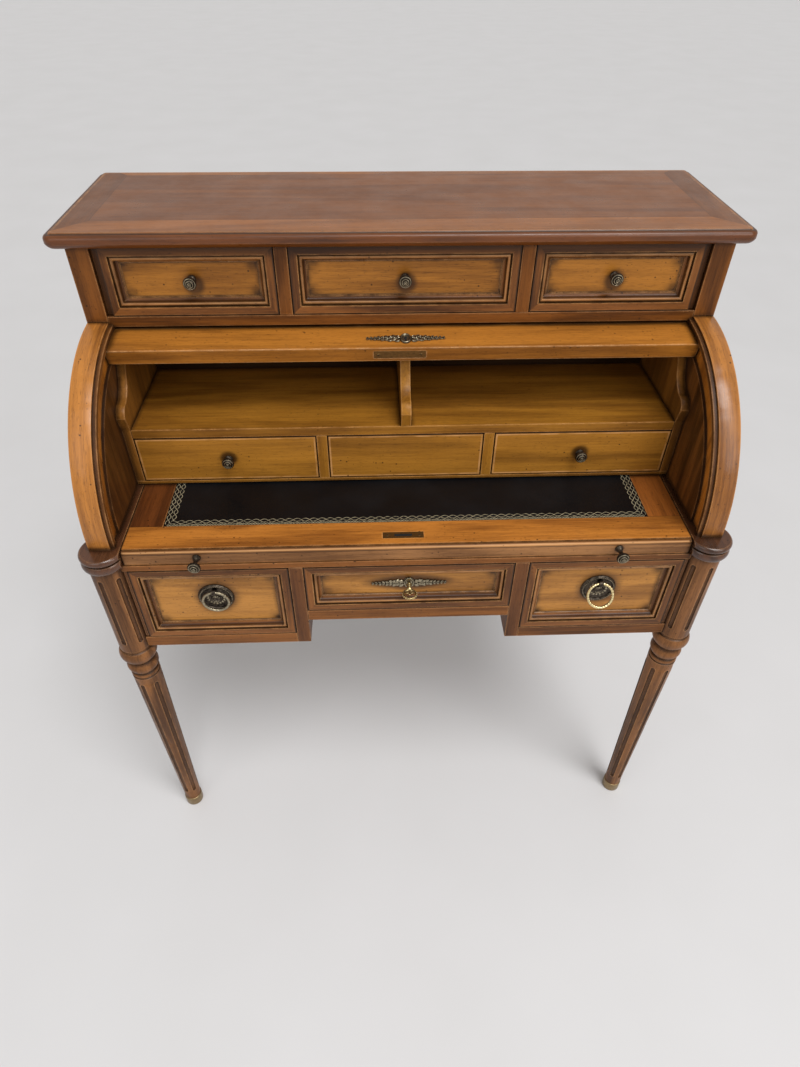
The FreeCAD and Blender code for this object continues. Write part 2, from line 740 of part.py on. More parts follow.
def make_legs():
    """Four turned legs: fluted column beside the case, ring, neck, bulb and fluted taper in a cap."""
    knuckle = s.knuckle_height
    radii = {"taper": s.taper_radius, "neck": s.neck_radius, "bulb": s.bulb_radius, "ring": s.ring_radius,
             "column": s.column_radius}
    turns = [(radii[part] * wide, taper_top + knuckle * up, *bulge)
             for part, wide, up, *bulge in KNUCKLE_SHARES]
    outline = [(0, s.cap_height), (s.ankle_radius, s.cap_height), *turns,
               (s.column_radius, case_low), (s.column_radius, bed_top), (0, bed_top)]
    blank = turned("leg_blank", outline, None, -leg_x, -leg_front)
    lean = slope_angle(s.taper_radius - s.ankle_radius, taper_top - s.cap_height)
    start = s.ankle_radius + (s.taper_radius - s.ankle_radius) * (
        (s.leg_flute_low - s.cap_height) / (taper_top - s.cap_height))
    flutes = []
    for number in range(FLUTE_COUNT):
        azimuth = FLUTE_START + 360 * number / FLUTE_COUNT
        flutes.append(flute(f"leg_flute_{number}", azimuth, s.leg_flute_low,
                            taper_top - s.leg_flute_drop, start, lean))
        flutes.append(flute(f"column_flute_{number}", azimuth, case_low + s.column_flute_rise,
                            bed_top - s.column_flute_drop, s.column_radius, as_size(0)))
    leg = cut("leg_left", blank, *flutes)
    middle = (leg_rear_y - leg_front) / 2
    pair("front_legs", leg)
    pair("rear_legs", mirrored("rear_leg_left", leg, Vector(0, 1, 0), middle))
    round_off = s.cap_radius - s.ankle_radius
    cap_outline = [(0, 0), (s.ankle_radius, 0), (s.cap_radius, round_off),
                   (s.cap_radius, s.cap_height - round_off, QUARTER_SHARE), (s.ankle_radius, s.cap_height),
                   (0, s.cap_height)]
    caps = [turned(f"cap_{end}", cap_outline, None, -leg_x, y) for end, y in
            (("front", -leg_front), ("rear", leg_rear_y))]
    pair("foot_caps", group("caps_left", *caps))


def make_slide():
    """The writing slide: board with an ovolo front, inlaid leather, strike plate and two knobs."""
    length, thick = slide_back - slide_front, s.slide_thick
    fillet, under = s.slide_ovolo + s.slide_quirk, thick - s.slide_quirk
    outline = [(0, 0), (length, 0), (length, thick), (fillet, thick), (fillet, under),
               (s.slide_ovolo, under, QUARTER_SHARE), (0, under - s.slide_ovolo)]
    blank = prism("slide_blank", outline, (-slide_half, slide_half), slide_front, slide_low)
    leather_half = slide_half - s.leather_side_margin
    leather_x = (-leather_half, leather_half)
    leather_y = (slide_front + s.leather_front_margin, slide_back - s.leather_back_margin)
    strike_x = (-(s.strike_offset + s.strike_width / 2), s.strike_width / 2 - s.strike_offset)
    strike_centre = slide_front + s.strike_margin
    strike_y = (strike_centre - s.strike_depth / 2, strike_centre + s.strike_depth / 2)
    top, above = writing_height, writing_height + s.overrun
    leather_room = box("leather_room", leather_x, leather_y, (top - s.leather_thick, above))
    strike_room = box("strike_room", strike_x, strike_y, (top - s.strike_thick, above))
    keep(cut("slide_board", blank, leather_room, strike_room))
    keep(box("slide_leather", leather_x, leather_y, (top - s.leather_thick, top)))
    keep(box("slide_strike", strike_x, strike_y, (top - s.strike_thick, top)))
    level = slide_low + under - s.slide_ovolo - s.slide_knob_drop
    pair("slide_knobs", knob("slide_knob", s.slide_knob_length, s.slide_knob_inset - slide_half,
                              slide_front, level))


def knob(name, length, x, y, z):
    """A turned knob on a spreading foot, pointing to the front."""
    return turned(name, scaled(KNOB_SHARES, s.knob_radius, length), TO_FRONT, x, y, z)


def panel_moulding(name, x, z, face):
    """The planted moulding round a recessed drawer panel: quirk, bead and cove."""
    outline = scaled(MOULDING_SHARES, s.moulding_width, s.panel_recess)
    half, high = (x[1] - x[0]) / 2, z[1] - z[0]
    path = [(0, 0), (half, 0), (half, high), (-half, high), (-half, 0)]
    return swept(name, outline, path, INTO_FRONT, UPRIGHT, ((x[0] + x[1]) / 2, face + s.panel_recess, z[0]))


def drawer(name, x, z, face, end, panelled):
    """A drawer in the opening x by z: its front, any moulding on it, and the boards of its box."""
    front_x = (x[0] + s.gap, x[1] - s.gap)
    front_z = (z[0] + s.gap, z[1] - s.gap)
    inside = face + s.front_thick
    front = box(f"{name}_front_board", front_x, (face, inside), front_z)
    pieces = []
    if panelled:
        room_x = (front_x[0] + s.front_lip, front_x[1] - s.front_lip)
        room_z = (front_z[0] + s.front_lip, front_z[1] - s.front_lip)
        room = box(f"{name}_recess", room_x, (face - s.overrun, face + s.panel_recess), room_z)
        front = cut(f"{name}_front_frame", front, room)
        pieces.append(panel_moulding(f"{name}_moulding", room_x, room_z, face))
    side = s.drawer_side
    low, high = z[0] + s.run_gap, front_z[1] - s.drawer_drop
    inner = (front_x[0] + side, front_x[1] - side)
    floor = low + s.drawer_bottom_raise
    boards = [
        box(f"{name}_side_left", (front_x[0], inner[0]), (inside, end), (low, high)),
        box(f"{name}_side_right", (inner[1], front_x[1]), (inside, end), (low, high)),
        box(f"{name}_back", inner, (end - side, end), (low, high)),
        box(f"{name}_bottom", inner, (inside, end - side), (floor, floor + s.drawer_bottom)),
    ]
    return front, pieces, boards


def make_upper_drawers():
    """Three panelled drawers with a knob each."""
    middle = s.upper_middle_width / 2
    outer, inner = cheek_in - s.upper_guide_thick, middle + s.upper_divider_thick
    level = (floor_top + top_low) / 2
    for side, x in (("left", (-outer, -inner)), ("middle", (-middle, middle)), ("right", (inner, outer))):
        name = f"upper_{side}_drawer"
        front, moulding, boards = drawer(name, x, (floor_top, top_low), upper_front,
                                         panel_front - s.upper_drawer_gap, True)
        keep(group(f"{name}_front", front, *moulding))
        keep(group(f"{name}_box", *boards))
        keep(knob(f"{name}_knob", s.upper_knob_length, (x[0] + x[1]) / 2,
                  upper_front + s.panel_recess, level))


def make_interior_drawers():
    """Three plain drawers under the pigeonholes; the middle one has no knob."""
    outer, inner = interior_in, interior_side
    level = (interior_floor + shelf_low) / 2
    face = -s.interior_front
    openings = (("left", (-outer, -inner)), ("middle", (-interior_middle, interior_middle)),
                ("right", (inner, outer)))
    for side, x in openings:
        name = f"interior_{side}_drawer"
        front, _, boards = drawer(name, x, (interior_floor, shelf_low), face,
                                  interior_panel - s.interior_drawer_gap, False)
        keep(group(name, front, *boards))
        if side != "middle":
            keep(knob(f"{name}_knob", s.inner_knob_length, (x[0] + x[1]) / 2, face, level))


def ring_pull(side, x, z, panel, tilt):
    """A round plate with an eyelet, and a ring hung in the eyelet at its tilt."""
    outline = scaled(PLATE_SHARES, s.plate_radius, s.plate_thick)
    plate = turned(f"{side}_plate_disc", outline, TO_FRONT, x, panel, z)
    hinge_y, hinge_z = panel - s.ring_standoff, z + s.ring_hang
    half = s.eyelet_width / 2
    eye = rod(f"{side}_eyelet", s.eyelet_radius, s.eyelet_width, x - half, hinge_y, hinge_z, ALONG_X)
    post = rod(f"{side}_eyelet_post", half * POST_SHARE, s.ring_standoff, x, panel, hinge_z, TO_FRONT)
    bore = rod(f"{side}_eyelet_bore", s.ring_wire + s.eyelet_clearance, s.eyelet_width + 2 * s.overrun,
               x - half - s.overrun, hinge_y, hinge_z, ALONG_X)
    keep(cut(f"{side}_ring_plate", fuse(f"{side}_plate_whole", plate, eye, post), bore))
    ring = doc.addObject("Part::Torus", f"{side}_ring")
    bind(ring, Radius1=s.ring_radius_middle, Radius2=s.ring_wire)
    ring.Placement = Placement(Vector(), TO_FRONT)
    bind(ring, Placement__Rotation__Angle=90 - tilt)
    hang = s.ring_radius_middle
    place(ring, x, hinge_y - hang * sine(tilt), hinge_z - hang * cosine(tilt))
    keep(ring)


def make_lower_drawers():
    """Two deep pedestal drawers with ring pulls, and a shallow locking one over the kneehole."""
    panel = case_front + s.panel_recess
    openings = (("left", (-drawer_out, -partition_out), as_size(0)),
                ("right", (partition_out, drawer_out), s.ring_tilt_angle))
    for side, x, tilt in openings:
        name = f"lower_{side}_drawer"
        z = (pedestal_top, bed_low)
        front, moulding, boards = drawer(name, x, z, case_front, lower_drawer_end, True)
        keep(group(f"{name}_front", front, *moulding))
        keep(group(f"{name}_box", *boards))
        ring_pull(side, (x[0] + x[1]) / 2, (z[0] + z[1]) / 2 + s.plate_raise, panel, tilt)
    make_centre_drawer(panel)


def make_centre_drawer(panel):
    """The centre drawer with its escutcheon, lock, bolt and key."""
    name, x, z = "lower_centre_drawer", (-partition_in, partition_in), (kneehole_top, bed_low)
    front, moulding, boards = drawer(name, x, z, case_front, lower_drawer_end, True)
    key_z = bed_low - s.keyhole_drop
    inside = case_front + s.front_thick
    lock_top = bed_low - s.gap - s.drawer_drop / 2

    def keyhole(piece):
        return rod(f"{piece}_keyhole", s.keyhole_radius, s.desk_depth, 0, half_depth, key_z, TO_FRONT)

    keep(group(f"{name}_front", cut("centre_front_bored", front, keyhole("front")), *moulding))
    keep(group(f"{name}_box", *boards))
    lens = doc.addObject("Part::Ellipsoid", "drawer_escutcheon_lens")
    bind(lens, Radius1=s.escutcheon_thick, Radius2=s.escutcheon_width / 2, Radius3=s.escutcheon_height / 2)
    lens.Angle1 = 0
    lens.Placement = Placement(Vector(), TO_FRONT)
    place(lens, 0, panel, key_z)
    keep(cut("drawer_escutcheon", lens, keyhole("escutcheon")))
    half = s.lock_width / 2
    case = box("lock_case_blank", (-half, half), (inside, inside + s.lock_thick),
               (lock_top - s.lock_height, lock_top))
    bolt_y = inside + (s.lock_thick - s.bolt_thick) / 2
    bolt_half, play = s.bolt_width / 2, s.bolt_clearance
    channel = box("bolt_channel", (-(bolt_half + play), bolt_half + play),
                  (bolt_y - play, bolt_y + s.bolt_thick + play),
                  (lock_top - s.bolt_height - play, lock_top + s.overrun))
    keep(cut("drawer_lock", case, channel, keyhole("lock")))
    keep(box("lock_bolt", (-bolt_half, bolt_half), (bolt_y, bolt_y + s.bolt_thick),
             (lock_top - s.bolt_height, lock_top)))
    make_key(panel, key_z)


def make_key(panel, key_z):
    """A key with a round bow, standing in the keyhole with the bow level."""
    outline = scaled(KEY_STEM_SHARES, s.key_radius, s.key_bit_depth + s.key_reach)
    stem = turned("key_stem", outline, TO_FRONT, 0, panel + s.key_bit_depth, key_z)
    bow = doc.addObject("Part::Torus", "key_bow_ring")
    bind(bow, Radius1=s.key_bow - s.key_bow_wire, Radius2=s.key_bow_wire)
    place(bow, 0, panel - s.key_reach - s.key_bow + 2 * s.key_bow_wire, key_z)
    keep(fuse("key", stem, bow))


make_top()
make_upper_case()
make_cheeks()
make_roll()
make_interior()
make_ledges()
make_lower_case()
make_legs()
make_slide()
make_upper_drawers()
make_interior_drawers()
make_lower_drawers()
doc.recompute()

failed = [obj.Label for obj in doc.Objects if {"Invalid", "Error"} & set(obj.State)]
failed += [name for name, obj in nodes.items() if obj.Shape.isNull() or not obj.Shape.isValid()]
if failed:
    raise RuntimeError(f"these pieces failed: {failed}")

os.makedirs("parts", exist_ok=True)
for name, obj in nodes.items():
    obj.Shape.exportStep(f"parts/{name}.step")
    print(f"{name}: {len(obj.Shape.Solids)} solids, {obj.Shape.Volume / 1000:.1f} cm3")
print(len(nodes), "sub-parts")
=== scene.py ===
"""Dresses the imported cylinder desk: antique finishes, fine brass fittings, stage, light and camera."""

from __future__ import annotations

import json
import logging
import math
from abc import ABC, abstractmethod
from collections.abc import Iterable, Iterator, Sequence
from dataclasses import dataclass
from enum import Enum
from functools import reduce

import bmesh
import bpy
from mathutils import Matrix, Vector

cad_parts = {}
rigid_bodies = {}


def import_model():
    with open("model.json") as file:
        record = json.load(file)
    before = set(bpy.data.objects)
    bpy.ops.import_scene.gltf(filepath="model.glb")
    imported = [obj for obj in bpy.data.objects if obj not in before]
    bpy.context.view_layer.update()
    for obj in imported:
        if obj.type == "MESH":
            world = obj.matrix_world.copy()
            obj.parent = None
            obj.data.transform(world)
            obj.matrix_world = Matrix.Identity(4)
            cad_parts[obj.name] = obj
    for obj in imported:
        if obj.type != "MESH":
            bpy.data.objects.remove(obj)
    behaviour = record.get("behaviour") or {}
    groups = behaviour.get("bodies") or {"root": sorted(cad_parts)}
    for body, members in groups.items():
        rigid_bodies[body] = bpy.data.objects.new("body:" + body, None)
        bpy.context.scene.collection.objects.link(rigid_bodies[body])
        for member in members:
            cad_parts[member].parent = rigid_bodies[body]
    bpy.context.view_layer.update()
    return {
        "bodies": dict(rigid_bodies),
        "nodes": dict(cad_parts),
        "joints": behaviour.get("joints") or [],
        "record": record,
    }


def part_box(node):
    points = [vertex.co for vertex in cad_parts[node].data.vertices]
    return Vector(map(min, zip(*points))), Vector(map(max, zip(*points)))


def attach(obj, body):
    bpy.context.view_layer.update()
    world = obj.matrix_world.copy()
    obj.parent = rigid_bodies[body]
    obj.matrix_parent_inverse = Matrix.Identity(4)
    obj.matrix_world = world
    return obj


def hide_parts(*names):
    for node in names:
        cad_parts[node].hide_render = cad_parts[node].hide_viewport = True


LOG = logging.getLogger("cylinder_desk")
MM = 0.001
ROUND_FROM = 226 * MM
# Sizes in millimetres that several fittings share.
AXIS_HEIGHT = 730.0
PANEL_Y = -236.0
KEY_HEIGHT = 645.7
SCREW_HEAD = 2.6
Pair = tuple[float, float]
Triple = tuple[float, float, float]
Colour = Triple
Profile = tuple[Pair, ...]
Socket = bpy.types.NodeSocket


def tint(red: int, green: int, blue: int) -> Colour:
    """A colour as read off a screen, 0 to 255, made linear by the sRGB curve."""
    shares = (channel / 255 for channel in (red, green, blue))
    return tuple(c / 12.92 if c <= 0.04045 else ((c + 0.055) / 1.055) ** 2.4 for c in shares)


class Grain(Enum):
    """The way a board's grain runs, as the turn that brings it onto X, or round the roll's axis."""

    ACROSS = (0.0, 0.0, 0.0)
    BACKWARD = (0.0, 0.0, -math.pi / 2)
    UPRIGHT = (0.0, math.pi / 2, 0.0)
    ROUND = "round"


class Shader:
    """A material's node tree, with short ways to add the nodes that the finishes use."""

    def __init__(self, name: str) -> None:
        """Start a material with one Principled shader.

        Args:
            name: The material's name.
        """
        self.material = bpy.data.materials.new(name)
        self.material.use_nodes = True
        self.tree = self.material.node_tree
        self.bsdf = next(n for n in self.tree.nodes if n.type == "BSDF_PRINCIPLED")
        self.position = self.tree.nodes.new("ShaderNodeTexCoord").outputs["Object"]

    def set(self, socket: Socket, value: object) -> None:
        """Link a socket to an input, or give the input a plain value.

        Args:
            socket: The input.
            value: An output socket, a number, or a colour or vector of three.
        """
        if isinstance(value, bpy.types.NodeSocket):
            self.tree.links.new(value, socket)
        elif isinstance(value, (tuple, list, Vector)) and socket.type == "RGBA":
            socket.default_value = (*value, 1.0)
        else:
            socket.default_value = value

    def node(self, kind: str, *values: object, **settings: object) -> bpy.types.Node:
        """Add a node.

        Args:
            kind: The node's type name without its ShaderNode start.
            *values: Values for its first inputs, in order; None leaves one as it is.
            **settings: Settings of the node itself.

        Returns:
            The node.
        """
        made = self.tree.nodes.new("ShaderNode" + kind)
        for key, value in settings.items():
            setattr(made, key, value)
        for socket, value in zip(made.inputs, values):
            if value is not None:
                self.set(socket, value)
        return made

    def fill(self, node: bpy.types.Node, **values: object) -> bpy.types.Node:
        """Give a node's inputs their values by name, with an underscore for each space.

        Args:
            node: The node.
            **values: What its inputs get.

        Returns:
            The node.
        """
        for name, value in values.items():
            self.set(node.inputs[name.replace("_", " ")], value)
        return node

    def math(self, operation: str, *values: object) -> Socket:
        """A Math node's result."""
        return self.node("Math", *values, operation=operation).outputs[0]

    def times(self, first: object, second: object) -> Socket:
        """The product of two values."""
        return self.math("MULTIPLY", first, second)

    def minus(self, first: object, second: object) -> Socket:
        """The first value less the second."""
        return self.math("SUBTRACT", first, second)

    def hypot(self, across: Socket, up: Socket) -> Socket:
        """The length of the slant over two lengths at right angles."""
        return self.math("SQRT", self.math("MULTIPLY_ADD", across, across, self.times(up, up)))

    def most(self, *values: Socket) -> Socket:
        """The largest of some values."""
        return reduce(lambda top, value: self.math("MAXIMUM", top, value), values)

    def smooth(self, value: Socket, low: float, high: float, start: float = 0.0, end: float = 1.0) -> Socket:
        """A smooth step of a value, from start where it is low to end where it is high."""
        made = self.node("MapRange", interpolation_type="SMOOTHSTEP")
        return self.fill(made, Value=value, From_Min=low, From_Max=high, To_Min=start, To_Max=end).outputs[0]

    def line(self, value: Socket, place: float, width: float, depth: float) -> Socket:
        """A soft line where a value passes a place, of a half width and with a strength in its middle."""
        off = self.math("ABSOLUTE", self.minus(value, place))
        return self.smooth(off, width * 0.25, width, depth, 0.0)

    def moved(self, vector: Socket, shift: tuple = (0, 0, 0), turn: tuple = (0, 0, 0),
              stretch: tuple = (1, 1, 1)) -> Socket:
        """A vector through a Mapping node: moved, turned by radians and stretched."""
        return self.node("Mapping", vector, shift, turn, stretch).outputs[0]

    def along(self, grain: Grain) -> Socket:
        """The place on a board, with X along its grain.

        Args:
            grain: The way the grain runs.

        Returns:
            The place, in metres.
        """
        if grain is not Grain.ROUND:
            return self.moved(self.position, turn=grain.value)
        x, y, z = self.split(self.position)
        rise = self.minus(z, AXIS_HEIGHT * MM)
        radius = self.hypot(y, rise)
        angle = self.math("ARCTAN2", rise, self.times(y, -1.0))
        bent = self.node("CombineXYZ", self.times(angle, ROUND_FROM), x, radius).outputs[0]
        near_rim = self.times(self.math("GREATER_THAN", radius, ROUND_FROM), self.math("LESS_THAN", y, 0.0))
        return self.mix(near_rim, self.moved(self.position, turn=Grain.UPRIGHT.value), bent)

    def noise(self, vector: Socket, scale: float, detail: float = 2.0, rough: float = 0.5,
              warp: float = 0.0) -> Socket:
        """Noise at a vector, about 0 to 1, with so many octaves, the finer ones rough, and a warp."""
        inputs = {"Vector": vector, "Scale": scale, "Detail": detail, "Roughness": rough, "Distortion": warp}
        return self.fill(self.node("TexNoise"), **inputs).outputs[0]

    def mix(self, share: object, first: object, second: object) -> Socket:
        """A mix of two colours.

        Args:
            share: How much of the second.
            first: The first colour.
            second: The second colour.

        Returns:
            The mixed colour.
        """
        made = self.node("Mix", data_type="RGBA")
        self.set(made.inputs[0], share)
        self.set(made.inputs[6], first)
        self.set(made.inputs[7], second)
        return made.outputs[2]

    def split(self, vector: Socket) -> list[Socket]:
        """A vector's three parts."""
        return list(self.node("SeparateXYZ", vector).outputs)

    def inset(self, value: Socket, middle: float, half: float) -> Socket:
        """How far a place lies inside the nearer end of a span, below 0 outside it."""
        return self.minus(half, self.math("ABSOLUTE", self.minus(value, middle)))

    def recess(self, reach: float, own: bool = True) -> Socket:
        """How far walls within a reach, of its own piece or of all, shut a spot in: 0 in the open to 1."""
        made = self.fill(self.node("AmbientOcclusion", only_local=own, samples=8), Distance=reach)
        return self.minus(1.0, made.outputs["AO"])

    def ring(self, x: Socket, z: Socket, middle: Sequence[float], half: Sequence[float]) -> Socket:
        """How dark old polish lies round a fitting on the front; set below a knob, it also paints the knob's
        shadow.

        Args:
            x: Place across.
            z: Place up.
            middle: The fitting's place across and up.
            half: Half its width and height.

        Returns:
            The polish's strength.
        """
        across, up = (self.math("DIVIDE", self.minus(place, centre), size)
                      for place, centre, size in zip((x, z), middle, half))
        return self.smooth(self.hypot(across, up), 0.70, 1.35, 0.75, 0.0)

    def edges(self, reach: float) -> Socket:
        """How near a spot lies to an edge of its piece, 0 in the flat to 1.

        Args:
            reach: How far, in metres, an edge is felt.

        Returns:
            The nearness.
        """
        rounded = self.node("Bevel", reach, samples=4).outputs[0]
        flat = self.node("NewGeometry").outputs["Normal"]
        match = self.node("VectorMath", rounded, flat, operation="DOT_PRODUCT").outputs["Value"]
        return self.smooth(match, 0.88, 0.995, 1.0, 0.0)

    def emboss(self, height: Socket, depth: float, strength: float) -> None:
        """Bump the surface by a height of 0 to 1, at a depth in metres for 1 and with a strength."""
        made = self.fill(self.node("Bump"), Strength=strength, Distance=depth, Height=height)
        self.fill(self.bsdf, Normal=made.outputs[0])

    def finish(self, colour: object, roughness: object, **plain: object) -> bpy.types.Material:
        """The material, with its colour, its roughness and other inputs of its shader set."""
        self.fill(self.bsdf, Base_Color=colour, Roughness=roughness, **plain)
        return self.material


@dataclass(frozen=True)
class Wood:
    """A stained and waxed wood: its colours, and how lively, worn and glossy it is."""

    name: str
    light: Colour
    dark: Colour
    figure: float = 1.0
    specks: float = 1.0
    # How strongly shut-in spots darken: old wax and dust, and painted shade.
    grime_and_shade: float = 0.85
    gloss: float = 0.36
    depth: float = 0.50
    shine: float = 0.20
    wear: float = 0.9
    umber: Colour = tint(42, 23, 10)
    rubbed: Colour = tint(224, 168, 112)

    def figured(self, shader: Shader, grain: Grain, shift: float) -> Socket:
        """The colour of the bare wood.

        Args:
            shader: The material being made.
            grain: The way the grain runs.
            shift: How far along the tree this board was cut, in metres.

        Returns:
            The colour.
        """
        along = shader.moved(shader.along(grain), (shift, shift * 0.37, shift * 0.71))
        broad = shader.noise(shader.moved(along, stretch=(1.1, 9, 9)), 1.0, 3, 0.5, 0.8)
        rings = shader.math("PINGPONG", shader.times(broad, 9.0), 1.0)
        tone = shader.times(shader.smooth(rings, 0.05, 0.95), 0.20 * self.figure)
        for stretch, share in (((4, 80, 80), 0.34), ((9, 260, 260), 0.40), ((40, 900, 900), 0.26)):
            streak = shader.noise(shader.moved(along, stretch=stretch), 1.0, 3, 0.62, 0.2)
            tone = shader.math("MULTIPLY_ADD", streak, share * self.figure, tone)
        tone = shader.math("MULTIPLY_ADD", shader.noise(along, 4.0, 3, 0.6), 0.3, tone)
        middle = 0.15 + 0.60 * self.figure
        colour = shader.mix(shader.smooth(tone, middle - 0.25, middle + 0.25), self.light, self.dark)
        pores = shader.noise(shader.moved(along, stretch=(90, 1500, 1500)), 1.0, 1)
        return shader.mix(shader.smooth(pores, 0.60, 0.72, 0.0, 0.45), colour, self.umber)

    def aged(self, shader: Shader, colour: Socket) -> Socket:
        """Age a colour: edges rubbed pale with a painted highlight along them, old wax and painted shade in
        hollows and in the gaps between pieces, and flecks knocked into the surface.

        Args:
            shader: The material being made.
            colour: The bare wood's colour.

        Returns:
            The aged colour.
        """
        patch = shader.noise(shader.position, 14.0, 3, 0.6)
        # Edges painted pale: wear, and a painted highlight along rounded edges.
        rubbed = shader.smooth(shader.noise(shader.position, 55.0, 3, 0.6), 0.30, 0.65, 0.2, self.wear)
        pale = tuple((mine + worn) / 2 for mine, worn in zip(self.light, self.rubbed))
        colour = shader.mix(shader.times(shader.edges(3.5 * MM), rubbed), colour, pale)
        # Darker where walls shut a spot in, on this piece and from its neighbours: old wax and dust, and
        # painted shade in hollows, flutes and the gaps between parts.
        shut_in = shader.most(shader.recess(14 * MM), shader.recess(12 * MM, False))
        recess_dirt_and_shade = shader.times(shader.smooth(shut_in, 0.08, self.depth), self.grime_and_shade)
        recess_dirt_and_shade = shader.times(recess_dirt_and_shade, shader.smooth(patch, 0.15, 0.6, 0.7, 1.0))
        colour = shader.mix(recess_dirt_and_shade, colour, self.umber)
        for size, share in ((90.0, 0.40), (180.0, 0.50)):
            cells = shader.node("TexVoronoi", shader.position, None, size)
            near = shader.smooth(cells.outputs["Distance"], 0.08, 0.15, 1.0, 0.0)
            chosen = shader.math("GREATER_THAN", shader.split(cells.outputs["Color"])[0], share)
            there = shader.times(chosen, shader.smooth(patch, 0.42, 0.56))
            fleck = shader.times(shader.times(near, there), 0.85 * self.specks)
            colour = shader.mix(fleck, colour, self.umber)
        return colour

    def waxed(self, shader: Shader, colour: Socket, grain: Grain) -> bpy.types.Material:
        """Close the material with its wax polish and pores.

        Args:
            shader: The material being made.
            colour: Its colour.
            grain: The way its pores run.

        Returns:
            The material.
        """
        fibre = shader.moved(shader.along(grain), stretch=(40, 900, 900))
        shader.emboss(shader.noise(fibre, 1.0, 2, 0.6), 0.12 * MM, 0.35)
        rub = shader.noise(shader.position, 22.0, 3, 0.6)
        rough = shader.smooth(rub, 0.2, 0.8, self.gloss - 0.05, self.gloss + 0.12)
        return shader.finish(colour, rough, Specular_IOR_Level=self.shine)

    def material(self, grain: Grain = Grain.ACROSS, shift: float = 0.0) -> bpy.types.Material:
        """This wood for a board, with its grain's way and how far along the tree it was cut, in metres."""
        shader = Shader(f"{self.name}_{grain.name.lower()}_{int(shift * 100)}")
        return self.waxed(shader, self.aged(shader, self.figured(shader, grain, shift)), grain)

    def with_side_light(self, face: "Wood", grain: Grain, shift: float) -> bpy.types.Material:
        """This wood, with a lighter wood of upright grain on the faces that look to the sides, lighter there
        as painted light.

        Args:
            face: The lighter wood for the side faces.
            grain: The way this wood's own grain runs.
            shift: How far along the tree both were cut, in metres.

        Returns:
            The material.
        """
        shader = Shader(f"{self.name}_{face.name}_{int(shift * 100)}")
        # Faces that look to the sides get the lighter wood: painted light on the cheeks' side faces.
        side_light_mask = shader.math("ABSOLUTE", shader.split(shader.node("NewGeometry").outputs["Normal"])[0])
        colour = shader.mix(shader.smooth(side_light_mask, 0.6, 0.9), self.figured(shader, grain, shift),
                            face.figured(shader, Grain.UPRIGHT, shift))
        return self.waxed(shader, self.aged(shader, colour), grain)


@dataclass(frozen=True)
class BorderedTop:
    """The top board: a field in a mitred border, with a darker moulded edge under a quirk painted dark as
    shade.
    """

    field: Wood
    rail: Wood
    end: Wood
    edging: Wood
    side: float = 438 * MM
    front: float = 33 * MM
    back: float = 248 * MM
    seam: float = 0.8 * MM
    half: Pair = (488 * MM, 149 * MM)
    middle: float = 125 * MM
    quirk: float = 7.0 * MM
    quirk_half: float = 2.4 * MM
    level: float = 1098.6 * MM
    fade: float = 1 * MM

    def material(self) -> bpy.types.Material:
        """The top's finish.

        Returns:
            The material.
        """
        shader = Shader("bordered_top")
        x, y, z = shader.split(shader.position)
        beside = shader.minus(shader.math("ABSOLUTE", x), self.side)
        along = shader.most(shader.minus(self.front, y), shader.minus(y, self.back))
        out = shader.most(beside, along)
        bordered = shader.math("GREATER_THAN", out, 0.0)
        border = shader.mix(shader.math("GREATER_THAN", beside, along),
                            self.rail.figured(shader, Grain.ACROSS, 0.9),
                            self.end.figured(shader, Grain.BACKWARD, 1.7))
        colour = shader.mix(bordered, self.field.figured(shader, Grain.ACROSS, 0.2), border)
        mitre = shader.line(shader.minus(beside, along), 0.0, self.seam, 0.5)
        seams = shader.most(shader.line(out, 0.0, self.seam, 0.5), shader.times(mitre, bordered))
        colour = shader.mix(seams, colour, self.field.umber)
        below = shader.smooth(z, self.level - self.fade, self.level, 1.0, 0.0)
        colour = shader.mix(below, colour, self.edging.figured(shader, Grain.ACROSS, 0.5))
        rim = shader.math("MINIMUM", shader.inset(x, 0.0, self.half[0]),
                          shader.inset(y, self.middle, self.half[1]))
        colour = self.field.aged(shader, colour)
        # Painted shade in the quirk along the top's edge.
        colour = shader.mix(shader.line(rim, self.quirk, self.quirk_half, 0.85), colour, self.field.umber)
        return self.field.waxed(shader, colour, Grain.ACROSS)


